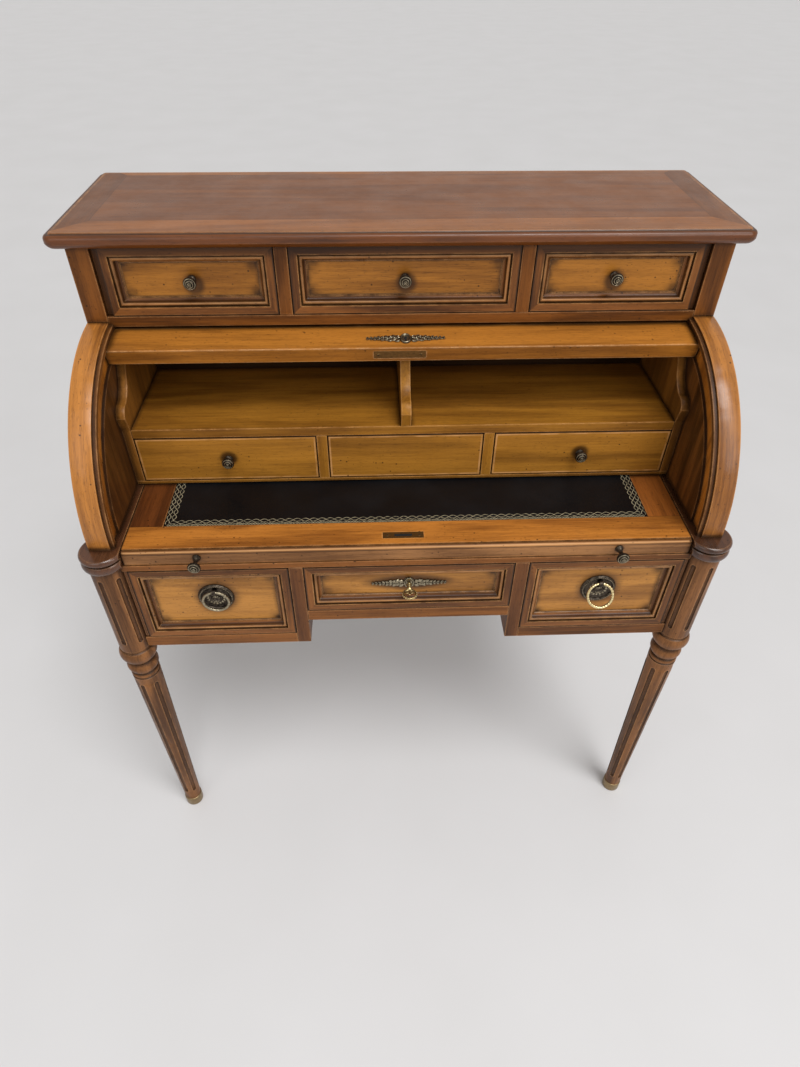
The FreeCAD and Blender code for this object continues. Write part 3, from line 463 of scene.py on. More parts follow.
@dataclass(frozen=True)
class BorderedSlide:
    """The writing slide: a front rail right across, darker ends beside the leather with the left one darker
    still as painted shade, and a darker edge with painted shade in its quirk, a painted highlight on its
    ovolo and painted shade at its sides.
    """

    rail: Wood
    left: Wood
    right: Wood
    edging: Wood
    half: float
    front: float = -190 * MM
    seam: float = 0.8 * MM
    quirk: float = 728.7 * MM
    quirk_half: float = 0.9 * MM
    ovolo: float = 726.6 * MM
    foot: float = 723.2 * MM
    line_half: float = 1.3 * MM
    side_gap: float = 2.4 * MM
    fade: float = 1 * MM

    def material(self) -> bpy.types.Material:
        """The slide's finish.

        Returns:
            The material.
        """
        shader = Shader("bordered_slide")
        x, y, z = shader.split(shader.position)
        behind = shader.minus(y, self.front)
        # The left end is painted darker as shade, the right end lighter as painted light.
        ends = shader.mix(shader.math("GREATER_THAN", x, 0.0), self.left.figured(shader, Grain.BACKWARD, 1.1),
                          self.right.figured(shader, Grain.BACKWARD, 1.7))
        colour = shader.mix(shader.math("GREATER_THAN", behind, 0.0),
                            self.rail.figured(shader, Grain.ACROSS, 0.5), ends)
        colour = shader.mix(shader.line(behind, 0.0, self.seam, 0.7), colour, self.rail.umber)
        below = shader.smooth(z, self.quirk - self.fade, self.quirk, 1.0, 0.0)
        colour = shader.mix(below, colour, self.edging.figured(shader, Grain.ACROSS, 0.2))
        # Painted highlight along the ovolo's rounded crest.
        colour = shader.mix(shader.line(z, self.ovolo, self.line_half, 0.55), colour, self.rail.rubbed)
        # Painted shade in the quirk and along the foot of the edge.
        groove_shade = shader.most(shader.line(z, self.quirk, self.quirk_half, 0.85),
                              shader.line(z, self.foot, self.line_half, 0.7))
        colour = self.rail.aged(shader, shader.mix(groove_shade, colour, self.rail.umber))
        # Painted shade at the slide's two sides, in the gap beside the cheeks.
        side_gap_shade = shader.line(shader.inset(x, 0.0, self.half), 0.0, self.side_gap, 0.9)
        return self.rail.waxed(shader, shader.mix(side_gap_shade, colour, self.rail.umber), Grain.ACROSS)


@dataclass(frozen=True)
class PlainFront:
    """A small plain drawer: painted shade in the gap round it, pale on its worn edge, smudged round its knob.
    """

    name: str
    wood: Wood
    middle: Pair
    half: Pair
    knob: Pair | None
    shift: float
    smudge: Pair = (13 * MM, 12 * MM)
    face: float = -82 * MM
    behind: float = -74 * MM
    edge: float = 2.6 * MM
    edge_half: float = 1.7 * MM
    gap: Pair = (0.5 * MM, 1.5 * MM)

    def material(self) -> bpy.types.Material:
        """The drawer's finish.

        Returns:
            The material.
        """
        shader = Shader(self.name)
        x, y, z = shader.split(shader.position)
        depth = shader.math("MINIMUM", shader.inset(x, self.middle[0], self.half[0]),
                            shader.inset(z, self.middle[1], self.half[1]))
        front = shader.smooth(y, self.face, self.behind, 1.0, 0.0)
        colour = self.wood.figured(shader, Grain.ACROSS, self.shift)
        if self.knob:
            polish = shader.times(shader.ring(x, z, self.knob, self.smudge), front)
            colour = shader.mix(polish, colour, self.wood.umber)
        patch = shader.smooth(shader.noise(shader.position, 40.0), 0.3, 0.65, 0.2, 1.0)
        worn = shader.times(shader.line(depth, self.edge, self.edge_half, 0.65), patch)
        colour = shader.mix(shader.times(worn, front), colour, self.wood.rubbed)
        colour = self.wood.aged(shader, colour)
        # Painted shade in the gap round the front.
        gap = shader.times(shader.smooth(depth, *self.gap, 0.95, 0.0), front)
        return self.wood.waxed(shader, shader.mix(gap, colour, self.wood.umber), Grain.ACROSS)


@dataclass(frozen=True)
class PanelledFront:
    """A panelled drawer front: mitred frame, planted moulding, and a field dark at its rim, with painted
    light: a highlight on the moulding's up-facing crest, shade in its quirk and in the gap round it, and on
    the upper fronts a shadow under the top.
    """

    name: str
    middle: Pair
    half: Pair
    fitting: Pair
    fitting_half: Pair
    panel: Wood
    frame: Wood
    shift: float
    overhang_shadow: float = 0.0
    overhang_shadow_fade: Pair = (4 * MM, 20 * MM)
    lip: float = 12 * MM
    crest: float = 15.6 * MM
    quirk: float = 18.9 * MM
    rim: float = 24 * MM
    rim_half: float = 0.2 * MM

    def material(self) -> bpy.types.Material:
        """The front's finish.

        Returns:
            The material.
        """
        shader = Shader(self.name)
        x, _, z = shader.split(shader.position)
        in_x = shader.inset(x, self.middle[0], self.half[0])
        in_z = shader.inset(z, self.middle[1], self.half[1])
        depth = shader.math("MINIMUM", in_x, in_z)
        stile = shader.math("LESS_THAN", in_x, in_z)
        frame = shader.mix(stile, self.frame.figured(shader, Grain.ACROSS, self.shift + 0.4),
                           self.frame.figured(shader, Grain.UPRIGHT, self.shift + 0.8))
        # The moulding's crest is painted pale: wear, and a painted highlight strongest where it faces up.
        faces_up_for_highlight = shader.split(shader.node("NewGeometry").outputs["Normal"])[2]
        rubbed = shader.times(shader.line(depth, self.crest, 3.4 * MM, 0.75),
                              shader.smooth(shader.noise(shader.position, 30.0), 0.3, 0.7, 0.4, 1.0))
        rubbed = shader.times(rubbed, shader.smooth(faces_up_for_highlight, -0.2, 0.7, 0.2, 1.0))
        frame = shader.mix(rubbed, frame, self.panel.rubbed)
        field = shader.smooth(depth, self.rim - self.rim_half, self.rim + self.rim_half)
        colour = shader.mix(field, frame, self.panel.figured(shader, Grain.ACROSS, self.shift))
        colour = shader.mix(self.patina(shader, in_x, in_z, field), colour, self.panel.umber)
        # Dark lines at the moulding's joints, and painted shade in its quirk.
        joints_and_groove_shade = shader.most(shader.line(depth, self.lip, 1.4 * MM, 0.6),
                             shader.line(depth, self.quirk, 1.6 * MM, 0.7),
                             shader.line(depth, self.rim, 2.2 * MM, 0.8))
        colour = shader.mix(joints_and_groove_shade, colour, self.panel.umber)
        # Old polish round the fitting; on the upper fronts it sits below the knob as the knob's painted
        # shadow.
        polish_and_knob_shadow = shader.times(shader.ring(x, z, self.fitting, self.fitting_half), field)
        colour = self.panel.aged(shader, shader.mix(polish_and_knob_shadow, colour, self.panel.umber))
        # Painted shadow under the top's overhang: the upper fronts darken towards their top edge.
        from_top = shader.minus(self.middle[1] + self.half[1], z)
        overhang_shadow = shader.smooth(from_top, *self.overhang_shadow_fade, self.overhang_shadow, 0.0)
        colour = shader.mix(overhang_shadow, colour, self.panel.umber)
        # Painted shade in the gap round the front.
        gap = shader.most(shader.line(in_z, 0.0, 1.6 * MM, 0.85), shader.line(in_x, 0.0, 3.0 * MM, 0.95))
        return self.panel.waxed(shader, shader.mix(gap, colour, self.panel.umber), Grain.ACROSS)

    def patina(self, shader: Shader, in_x: Socket, in_z: Socket, field: Socket) -> Socket:
        """How dark the old stain lies round the rim and in the corners of the field.

        Args:
            shader: The material being made.
            in_x: How far inside the front's sides a place lies.
            in_z: How far inside its top and bottom.
            field: 1 on the field.

        Returns:
            The stain's strength.
        """
        from_side = shader.minus(in_x, self.rim)
        from_rail = shader.minus(in_z, self.rim)
        cloud = shader.smooth(shader.noise(shader.position, 38.0, 3, 0.6), 0.30, 0.70, 0.35, 1.15)
        stain = shader.most(shader.smooth(from_side, 0.0, 8 * MM, 0.55, 0.0),
                            shader.smooth(from_rail, 0.0, 3 * MM, 0.4, 0.0),
                            shader.smooth(shader.hypot(from_side, from_rail), 2 * MM, 24 * MM, 0.95, 0.0))
        return shader.times(shader.times(stain, cloud), field)


@dataclass(frozen=True)
class TooledLeather:
    """Black leather with dull gold tooling round its edge, each row with its place, swing and pitch."""

    hide: Colour = tint(8, 9, 12)
    worn_hide: Colour = tint(16, 17, 20)
    gold: Colour = tint(192, 182, 150)
    thread: float = 0.8 * MM
    middle: Pair = (0.0, -5 * MM)
    half: Pair = (369 * MM, 185 * MM)
    front_rows: tuple[Triple, ...] = ((9.5 * MM, 3.4 * MM, 25 * MM), (2.6 * MM, 1.5 * MM, 9 * MM))
    end_rows: tuple[Triple, ...] = ((12.6 * MM, 2.9 * MM, 25 * MM), (4.6 * MM, 2.9 * MM, 25 * MM))
    clear: float = 5 * MM

    def braid(self, shader: Shader, along: Socket, off: Socket, place: float, reach: float,
              pitch: float) -> Socket:
        """A row of two waves that cross like links of a chain.

        Args:
            shader: The material being made.
            along: Place along the row.
            off: Distance from the leather's edge.
            place: The row's distance from the edge.
            reach: How far the waves swing.
            pitch: The length of a wave.

        Returns:
            1 on the gold.
        """
        wave = shader.math("SINE", shader.times(along, 2 * math.pi / pitch))
        swing = shader.times(wave, reach)
        from_row = shader.minus(off, place)
        return shader.most(*(shader.line(shader.math(way, from_row, swing), 0.0, self.thread, 1.0)
                             for way in ("ADD", "SUBTRACT")))

    def material(self) -> bpy.types.Material:
        """The leather's finish.

        Returns:
            The material.
        """
        shader = Shader("tooled_leather")
        x, y, _ = shader.split(shader.position)
        from_end = shader.inset(x, self.middle[0], self.half[0])
        from_front = shader.inset(y, self.middle[1], self.half[1])
        rows = shader.most(*(self.braid(shader, x, from_front, *row) for row in self.front_rows))
        rows = shader.times(rows, shader.math("GREATER_THAN", from_end, self.clear))
        ends = shader.most(*(self.braid(shader, y, from_end, *row) for row in self.end_rows))
        ends = shader.times(ends, shader.math("GREATER_THAN", from_front, self.clear))
        nearer = shader.math("LESS_THAN", from_front, from_end)
        picked = shader.math("ADD", shader.times(rows, nearer),
                             shader.times(ends, shader.minus(1.0, nearer)))
        rubbed = shader.smooth(shader.noise(shader.position, 260.0, 3, 0.7), 0.32, 0.58, 0.2, 0.95)
        gold = shader.times(picked, rubbed)
        pebble = shader.node("TexVoronoi", shader.position, None, 900.0, feature="SMOOTH_F1")
        wear = shader.noise(shader.position, 9.0, 4, 0.6)
        hide = shader.mix(shader.smooth(wear, 0.40, 0.75), self.hide, self.worn_hide)
        shader.emboss(shader.minus(pebble.outputs["Distance"], shader.times(picked, 0.6)), 0.15 * MM, 0.4)
        rough = shader.minus(shader.smooth(wear, 0.3, 0.8, 0.36, 0.5), shader.times(gold, 0.05))
        return shader.finish(shader.mix(gold, hide, self.gold), rough, Specular_IOR_Level=0.2,
                             Metallic=shader.times(gold, 0.3))


@dataclass(frozen=True)
class Metal:
    """A cast brass or steel: its bright colour, the dark in its hollows, and its polish."""

    name: str
    bright: Colour
    dark: Colour
    polish: float = 0.35
    worn: float = 0.5

    def material(self) -> bpy.types.Material:
        """This metal, bright where it is rubbed and dark in its hollows.

        Returns:
            The material.
        """
        shader = Shader(self.name)
        shut_in = shader.smooth(shader.recess(2.5 * MM), 0.05, 0.6)
        blotch = shader.noise(shader.position, 260.0, 4, 0.65)
        tarnish = shader.smooth(shader.math("ADD", shut_in, blotch), self.worn, self.worn + 0.7)
        shader.emboss(blotch, 0.15 * MM, 0.3)
        rough = shader.smooth(tarnish, 0.0, 1.0, self.polish, self.polish + 0.25)
        return shader.finish(shader.mix(tarnish, self.bright, self.dark), rough, Metallic=1.0)


@dataclass(frozen=True)
class HoleShade:
    """Painted shade for screw slots and keyholes: a dark surface where there is only a hole."""

    name: str = "hole_shade_dark"
    colour: Colour = tint(16, 12, 9)

    def material(self) -> bpy.types.Material:
        """This finish, a little mottled.

        Returns:
            The material.
        """
        shader = Shader(self.name)
        mottle = shader.noise(shader.position, 300.0, 2)
        return shader.finish(shader.mix(mottle, self.colour, tint(6, 5, 4)), 0.8)


CASE = Wood("case_wood", tint(138, 84, 36), tint(80, 45, 16))
UPPER_CASE = Wood("upper_case_wood", tint(132, 78, 28), tint(72, 39, 12))
TOP_FIELD = Wood("top_field_wood", tint(138, 84, 42), tint(100, 57, 26), 0.7, 0.35, gloss=0.30, shine=0.5)
TOP_RAIL = Wood("top_rail_wood", tint(162, 101, 51), tint(116, 69, 32), 0.7, 0.35, shine=0.35)
TOP_EDGE = Wood("top_edge_wood", tint(112, 59, 15), tint(62, 30, 7))
TOP_END = Wood("top_end_wood", tint(130, 80, 40), tint(96, 55, 26), 0.7, 0.35, shine=0.4)
CHEEK = Wood("cheek_wood", tint(194, 126, 54), tint(112, 66, 26), 0.9, gloss=0.27, shine=0.45)
# A lighter copy of the cheek wood for the cheeks' side faces: painted light.
CHEEK_SIDE_LIT = Wood("cheek_side_lit_wood", tint(196, 122, 44), tint(126, 72, 24))
TRACK = Wood("track_wood", tint(124, 76, 32), tint(58, 33, 13), grime_and_shade=0.95, depth=0.3)
# The roll's paler rubbed colour and full wear also paint the highlight along the rail's rounded lower edge.
ROLL = Wood("roll_wood", tint(184, 118, 44), tint(114, 67, 22), 0.9, wear=1.0, rubbed=tint(248, 208, 162))
INTERIOR = Wood("interior_wood", tint(168, 114, 38), tint(110, 68, 20), 0.8, 0.6, wear=1.0)
INTERIOR_SIDE = Wood("interior_side_wood", tint(150, 98, 38), tint(86, 53, 19), 0.8, 0.6, wear=1.0)
# A very dark wood for the interior's back, standing for the shade deep inside: painted shade.
INTERIOR_BACK_SHADE = Wood("interior_back_wood", tint(60, 38, 15), tint(34, 21, 9), 0.8, 0.3)
SMALL_DRAWER = Wood("small_drawer_wood", tint(182, 124, 44), tint(116, 74, 24), 0.8, wear=1.0)
SLIDE = Wood("slide_wood", tint(190, 120, 48), tint(118, 67, 24))
# The slide's ends are one wood in a shaded and a lit copy: painted light.
SLIDE_LEFT_SHADED = Wood("slide_left_end_wood", tint(110, 60, 26), tint(66, 34, 14))
SLIDE_RIGHT_LIT = Wood("slide_right_end_wood", tint(160, 93, 38), tint(98, 54, 21))
SLIDE_EDGE = Wood("slide_edge_wood", tint(168, 118, 72), tint(104, 67, 36))
UPPER_PANEL = Wood("upper_panel_wood", tint(186, 122, 45), tint(122, 74, 23), 0.9, gloss=0.30, shine=0.25)
LOWER_PANEL = Wood("lower_panel_wood", tint(194, 134, 62), tint(132, 85, 36), 0.9, gloss=0.30, shine=0.25)
FRAME = Wood("frame_wood", tint(140, 86, 38), tint(70, 39, 15))
STILE = Wood("stile_wood", tint(112, 68, 34), tint(60, 33, 15))
# The legs' strong darkening in shut-in spots also paints shade in the flutes.
LEG = Wood("leg_wood", tint(142, 94, 54), tint(76, 47, 25), grime_and_shade=0.95, depth=0.22)
LEDGE = Wood("ledge_wood", tint(92, 56, 34), tint(52, 29, 16), grime_and_shade=0.9, gloss=0.22, shine=0.6)
BOX = Wood("box_wood", tint(196, 160, 108), tint(150, 112, 66), specks=0.2, grime_and_shade=0.4, gloss=0.55)
BACK = Wood("back_wood", tint(150, 108, 66), tint(108, 70, 38), specks=0.3, grime_and_shade=0.5, gloss=0.6)
BRONZE = Metal("bronze", tint(122, 110, 96), tint(28, 23, 20), 0.30, 0.08)
RELIEF = Metal("relief_bronze", tint(176, 164, 138), tint(48, 40, 32), 0.30, 0.30)
BRASS = Metal("brass", tint(232, 212, 160), tint(110, 88, 54), 0.24, 0.70)
KEY_BRASS = Metal("key_brass", tint(190, 168, 120), tint(76, 60, 38), 0.28, 0.45)
LOCK_BRASS = Metal("lock_brass", tint(146, 116, 72), tint(58, 43, 27), 0.40, 0.35)
CAP_BRASS = Metal("cap_brass", tint(152, 130, 96), tint(72, 58, 42), 0.38, 0.4)
STEEL = Metal("lock_steel", tint(170, 166, 158), tint(80, 76, 70), 0.42, 0.6)
HOLE_SHADE = HoleShade()


def stand(x: float, y: float, z: float, up: Sequence[float] = (0, 0, 1)) -> Matrix:
    """Axes for a fitting: X across the desk, Y up the surface and Z out of it, in millimetres.

    Args:
        x: Place across.
        y: Place back.
        z: Place up.
        up: The way that is up the surface.

    Returns:
        The axes, as a matrix from millimetres to the desk's frame.
    """
    across, rise = Vector((1, 0, 0)), Vector(up)
    turn = Matrix((across, rise, across.cross(rise))).transposed().to_4x4()
    return Matrix.Scale(MM, 4) @ Matrix.Translation((x, y, z)) @ turn


def at(x: float, y: float, z: float, turn: float = 0.0, size: Sequence[float] = (1, 1, 1)) -> Matrix:
    """A place on a fitting: across, up and out, turned about Z by radians and stretched."""
    return Matrix.Translation((x, y, z)) @ Matrix.Rotation(turn, 4, "Z") @ Matrix.Diagonal((*size, 1))


def around(count: int, half: Sequence[float], z: float, size: Sequence[float],
           first: float = 0.0) -> Iterator[Matrix]:
    """Even places round an oval, each turned to face outward.

    Args:
        count: How many.
        half: The oval's half width and half height.
        z: Their place out.
        size: Their stretch along the turned axes.
        first: Where the first one stands, as a share of a step.

    Yields:
        The places.
    """
    for number in range(count):
        angle = 2 * math.pi * (number + first) / count
        yield at(half[0] * math.cos(angle), half[1] * math.sin(angle), z, angle, size)


class Casting:
    """A fitting in the making, drawn in millimetres on its own axes."""

    def __init__(self) -> None:
        """Start with nothing."""
        self.bm = bmesh.new()

    def add(self, part: bmesh.types.BMesh, place: Matrix, finish: int = 0) -> None:
        """Take in a part.

        Args:
            part: The part; it is used up.
            place: Where it goes.
            finish: The number of its material.
        """
        bmesh.ops.remove_doubles(part, verts=part.verts, dist=0.002)
        bmesh.ops.recalc_face_normals(part, faces=part.faces)
        part.transform(place)
        for face in part.faces:
            face.smooth = True
            face.material_index = finish
        carrier = bpy.data.meshes.new("carrier")
        part.to_mesh(carrier)
        part.free()
        self.bm.from_mesh(carrier)
        bpy.data.meshes.remove(carrier)

    def turned(self, profile: Iterable[Sequence[float]], steps: int, place: Matrix) -> None:
        """Turn a profile about Z.

        Args:
            profile: Pairs of radius and height, from the foot up.
            steps: Facets round.
            place: Where it goes.
        """
        part = bmesh.new()
        verts = [part.verts.new((radius, 0, height)) for radius, height in profile]
        edges = [part.edges.new(ends) for ends in zip(verts, verts[1:])]
        bmesh.ops.spin(part, geom=[*verts, *edges], axis=(0, 0, 1), cent=(0, 0, 0),
                       angle=2 * math.pi, steps=steps, use_merge=True)
        self.add(part, place)

    def bead(self, place: Matrix, finish: int = 0, sides: int = 10) -> None:
        """A ball of radius 1, placed and stretched.

        Args:
            place: Where it goes and how it is stretched.
            finish: The number of its material.
            sides: Facets round.
        """
        part = bmesh.new()
        bmesh.ops.create_uvsphere(part, u_segments=sides, v_segments=max(4, sides * 2 // 3), radius=1)
        self.add(part, place, finish)

    def leaf(self, place: Matrix) -> None:
        """A pointed leaf from -1 to 1 along X, with a groove down its middle.

        Args:
            place: Where it goes and how it is stretched.
        """
        part = bmesh.new()
        bmesh.ops.create_uvsphere(part, u_segments=8, v_segments=8, radius=1,
                                  matrix=Matrix.Rotation(math.pi / 2, 4, "Y"))
        for vert in part.verts:
            vert.co.y *= math.sqrt(max(0.0, 1 - vert.co.x ** 2))
            vert.co.z *= 0.55 + 0.45 * min(1.0, abs(vert.co.y) * 3)
        self.add(part, place)

    def block(self, place: Matrix, finish: int = 0, ease: float = 0.12) -> None:
        """A small block from -1 to 1, its edges eased.

        Args:
            place: Where it goes and how it is stretched.
            finish: The number of its material.
            ease: How far its edges are eased.
        """
        part = bmesh.new()
        bmesh.ops.create_cube(part, size=2)
        bmesh.ops.bevel(part, geom=part.edges[:], offset=ease, offset_type="OFFSET", affect="EDGES",
                        segments=2, profile=0.5, material=-1)
        self.add(part, place, finish)

    def hoop(self, radius: float, wire: float, place: Matrix, steps: int = 40, sides: int = 10,
             finish: int = 0) -> None:
        """A round wire bent into a ring about Z.

        Args:
            radius: The ring's radius to the middle of the wire.
            wire: The wire's radius.
            place: Where it goes.
            steps: Facets round the ring.
            sides: Facets round the wire.
            finish: The number of its material.
        """
        part = bmesh.new()
        upright = Matrix.Translation((radius, 0, 0)) @ Matrix.Rotation(math.pi / 2, 4, "X")
        bmesh.ops.create_circle(part, segments=sides, radius=wire, matrix=upright)
        bmesh.ops.spin(part, geom=[*part.verts, *part.edges], axis=(0, 0, 1), cent=(0, 0, 0),
                       angle=2 * math.pi, steps=steps, use_merge=True)
        self.add(part, place, finish)

    def rope(self, radius: float, wire: float, twists: int, place: Matrix, steps: int = 196) -> None:
        """A ring of three strands twisted into a rope about Z.

        Args:
            radius: The ring's radius to the middle of the rope.
            wire: The rope's radius.
            twists: How many strands cross the ring's face round the ring.
            place: Where it goes.
            steps: Sections round the ring.
        """
        part = bmesh.new()
        strands = 3
        upright = Matrix.Rotation(math.pi / 2, 4, "X")
        bmesh.ops.create_circle(part, segments=strands * 6, radius=1, matrix=upright)
        for vert in part.verts:
            swell = 0.80 + 0.20 * abs(math.cos(strands / 2 * math.atan2(vert.co.z, vert.co.x)))
            vert.co = vert.co * wire * swell + Vector((radius, 0, 0))
        edges = part.edges[:]
        twist = 2 * math.pi * twists / strands / steps
        step = 2 * math.pi / steps
        for number in range(steps):
            angle = number * step
            spoke = Vector((math.cos(angle), math.sin(angle), 0))
            made = bmesh.ops.extrude_edge_only(part, edges=edges)["geom"]
            fresh = {item for item in made if isinstance(item, bmesh.types.BMVert)}
            edges = [item for item in made
                     if isinstance(item, bmesh.types.BMEdge) and fresh.issuperset(item.verts)]
            bmesh.ops.rotate(part, cent=spoke * radius, verts=list(fresh),
                             matrix=Matrix.Rotation(twist, 3, Vector((-spoke.y, spoke.x, 0))))
            bmesh.ops.rotate(part, cent=(0, 0, 0), verts=list(fresh), matrix=Matrix.Rotation(step, 3, "Z"))
        bmesh.ops.remove_doubles(part, verts=part.verts, dist=0.01)
        self.add(part, place)

    def screw(self, x: float, y: float, z: float, radius: float, turn: float) -> None:
        """A countersunk screw head across, up and out, with its slot turned by radians."""
        self.turned([(0, 0.4), (radius * 0.8, 0.35), (radius, 0), (radius, -0.4), (0, -0.4)], 20, at(x, y, z))
        # The slot is a thin dark block: painted shade.
        self.block(at(x, y, z + 0.36, turn, (radius * 0.85, radius * 0.14, 0.12)), 1)

    def piece(self, name: str, place: Matrix, materials: Iterable[bpy.types.Material], body: str, slot: str,
              *replaced: str) -> None:
        """Set the fitting down on the desk.

        Args:
            name: Its name.
            place: Its axes.
            materials: Its materials, in the order of their numbers.
            body: The body that it rides on.
            slot: The record's material slot; not used.
            *replaced: The solids that it stands for.
        """
        self.bm.transform(place)
        mesh = bpy.data.meshes.new(name)
        self.bm.to_mesh(mesh)
        self.bm.free()
        mesh.set_sharp_from_angle(angle=math.radians(42))
        for material in materials:
            mesh.materials.append(material)
        obj = bpy.data.objects.new(name, mesh)
        bpy.context.scene.collection.objects.link(obj)
        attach(obj, body)
        if replaced:
            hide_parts(*replaced)
        LOG.info("made %s", name)


@dataclass
class SubAssembly(ABC):
    """A group of the desk's pieces that are dressed together."""

    frame: dict

    @abstractmethod
    def build(self) -> None:
        """Make and dress the pieces."""

    def dress(self, name: str, material: bpy.types.Material, arris: float = 0.0) -> None:
        """Give a solid of the frame a material and eased edges.

        Args:
            name: The node's name.
            material: The material.
            arris: How far its edges are eased, in metres; 0 leaves them.
        """
        obj = self.frame["nodes"][name]
        obj.data.materials.clear()
        obj.data.materials.append(material)
        if arris:
            weld = obj.modifiers.new("joined", "WELD")
            weld.merge_threshold = 0.01 * MM
            ease = obj.modifiers.new("eased", "BEVEL")
            ease.width = arris
            ease.segments = 2
            ease.limit_method = "ANGLE"
            ease.angle_limit = math.radians(40)
            ease.harden_normals = True
        LOG.info("dressed %s", name)


@dataclass
class UpperCase(SubAssembly):
    """The top board and the case of the upper drawers."""

    arris: float = 1.0 * MM
    nail_rows: int = 7
    nail_half: float = 420.0
    nail_back: float = 256.0
    nail_levels: Pair = (720.0, 1062.0)
    nail_size: Triple = (1.9, 1.9, 0.8)

    def build(self) -> None:
        """Make and dress the pieces."""
        self.dress("top_board", BorderedTop(TOP_FIELD, TOP_RAIL, TOP_END, TOP_EDGE).material(), 0.6 * MM)
        self.dress("upper_sides", UPPER_CASE.material(Grain.UPRIGHT, 0.3), self.arris)
        self.dress("upper_floor", UPPER_CASE.material(Grain.ACROSS, 0.6), self.arris)
        self.dress("upper_dividers", UPPER_CASE.material(Grain.UPRIGHT, 0.9), self.arris)
        self.dress("back_panel", BACK.material(Grain.UPRIGHT, 0.2), self.arris)
        self.nails()

    def nails(self) -> None:
        """Pin the back panel along its edges."""
        casting = Casting()
        for number in range(self.nail_rows):
            x = self.nail_half * (2 * number / (self.nail_rows - 1) - 1)
            for z in self.nail_levels:
                casting.bead(at(x, z, 0, 0, self.nail_size), sides=8)
        casting.piece("back_nails", stand(0, self.nail_back, 0), [STEEL.material()], "carcass", "steel")


@dataclass
class RollFront(SubAssembly):
    """The cheeks, the tracks and the roll with its lock plate."""

    arris: float = 1.0 * MM
    lock_middle: float = -9.0
    screw_half: float = 31.0
    screw_turns: Pair = (0.6, 2.1)
    open_angle: float = math.radians(74.2)
    lock_radius: float = 216.5
    clearance: float = 1.1

    def build(self) -> None:
        """Make and dress the pieces."""
        self.dress("cheek_left", CHEEK.with_side_light(CHEEK_SIDE_LIT, Grain.ROUND, 0.1), 1.5 * MM)
        self.dress("cheek_right", CHEEK.with_side_light(CHEEK_SIDE_LIT, Grain.ROUND, 0.7), 1.5 * MM)
        track = TRACK.material(Grain.ROUND, 0.4)
        for name in ("track_beads", "roll_tracks"):
            self.dress(name, track)
        self.dress("roll_rail", ROLL.material(Grain.ACROSS, 0.3), self.arris)
        self.dress("roll_shell", ROLL.material(Grain.ACROSS, 0.8))
        self.dress("roll_lock", LOCK_BRASS.material(), 0.3 * MM)
        self.lock_screws()

    def lock_screws(self) -> None:
        """Screw the lock plate to the rail."""
        lean, rise = math.cos(self.open_angle), math.sin(self.open_angle)
        casting = Casting()
        for side, turn in zip((-1, 1), self.screw_turns):
            casting.screw(side * self.screw_half, 0, -self.clearance, SCREW_HEAD, turn)
        place = stand(self.lock_middle, -self.lock_radius * lean, AXIS_HEIGHT + self.lock_radius * rise,
                      (0, -lean, rise))
        casting.piece("roll_lock_screws", place, [LOCK_BRASS.material(), HOLE_SHADE.material()], "roll", "bronze")


@dataclass
class Interior(SubAssembly):
    """The fixed interior of small drawers and pigeonholes."""

    arris: float = 1.2 * MM
    sill: float = 739.2
    head: float = 817.8
    knob: float = 780.0

    def build(self) -> None:
        """Make and dress the pieces."""
        for number, name in enumerate(("interior_base", "interior_shelf")):
            self.dress(name, INTERIOR.material(Grain.ACROSS, 0.3 + number * 0.4), self.arris)
        self.dress("interior_back", INTERIOR_BACK_SHADE.material(Grain.ACROSS, 1.1), self.arris)
        self.dress("interior_sides", INTERIOR_SIDE.material(Grain.UPRIGHT, 0.2), self.arris)
        self.dress("interior_dividers", INTERIOR.material(Grain.UPRIGHT, 0.7), self.arris)
        middle, half = (self.head + self.sill) / 2 * MM, (self.head - self.sill) / 2 * MM
        for number, side in enumerate(("left", "middle", "right")):
            name = f"interior_{side}_drawer"
            low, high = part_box(name)
            across = (low[0] + high[0]) / 2
            knob = None if side == "middle" else (across, self.knob * MM)
            reach = (high[0] - low[0]) / 2
            front = PlainFront(f"{name}_front", SMALL_DRAWER, (across, middle), (reach, half), knob,
                               1.5 + number * 0.6)
            self.dress(name, front.material(), self.arris)


@dataclass
class WritingSlide(SubAssembly):
    """The writing slide with its leather and strike plate."""

    strike_middle: float = -9.0
    strike_y: float = -220.0
    screw_half: float = 24.0
    screw_turns: Pair = (1.2, 0.3)
    screw_sunk: float = 0.35
    mouth: Triple = (13.0, 2.6, 0.10)

    def build(self) -> None:
        """Make and dress the pieces."""
        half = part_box("slide_board")[1][0]
        board = BorderedSlide(SLIDE, SLIDE_LEFT_SHADED, SLIDE_RIGHT_LIT, SLIDE_EDGE, half)
        self.dress("slide_board", board.material(), 0.6 * MM)
        self.dress("slide_leather", TooledLeather().material())
        self.dress("slide_strike", LOCK_BRASS.material(), 0.2 * MM)
        self.dress("slide_bed", CASE.material(Grain.ACROSS, 0.4), 0.8 * MM)
        casting = Casting()
        for side, turn in zip((-1, 1), self.screw_turns):
            casting.screw(side * self.screw_half, 0, -self.screw_sunk, SCREW_HEAD, turn)
        # The strike's mouth is a thin dark block: painted shade.
        casting.block(at(0, 0, -self.mouth[2] / 2, 0, self.mouth), 1)
        place = stand(self.strike_middle, self.strike_y, AXIS_HEIGHT, (0, 1, 0))
        finishes = [LOCK_BRASS.material(), HOLE_SHADE.material()]
        casting.piece("strike_screws", place, finishes, "writing_slide", "bronze")


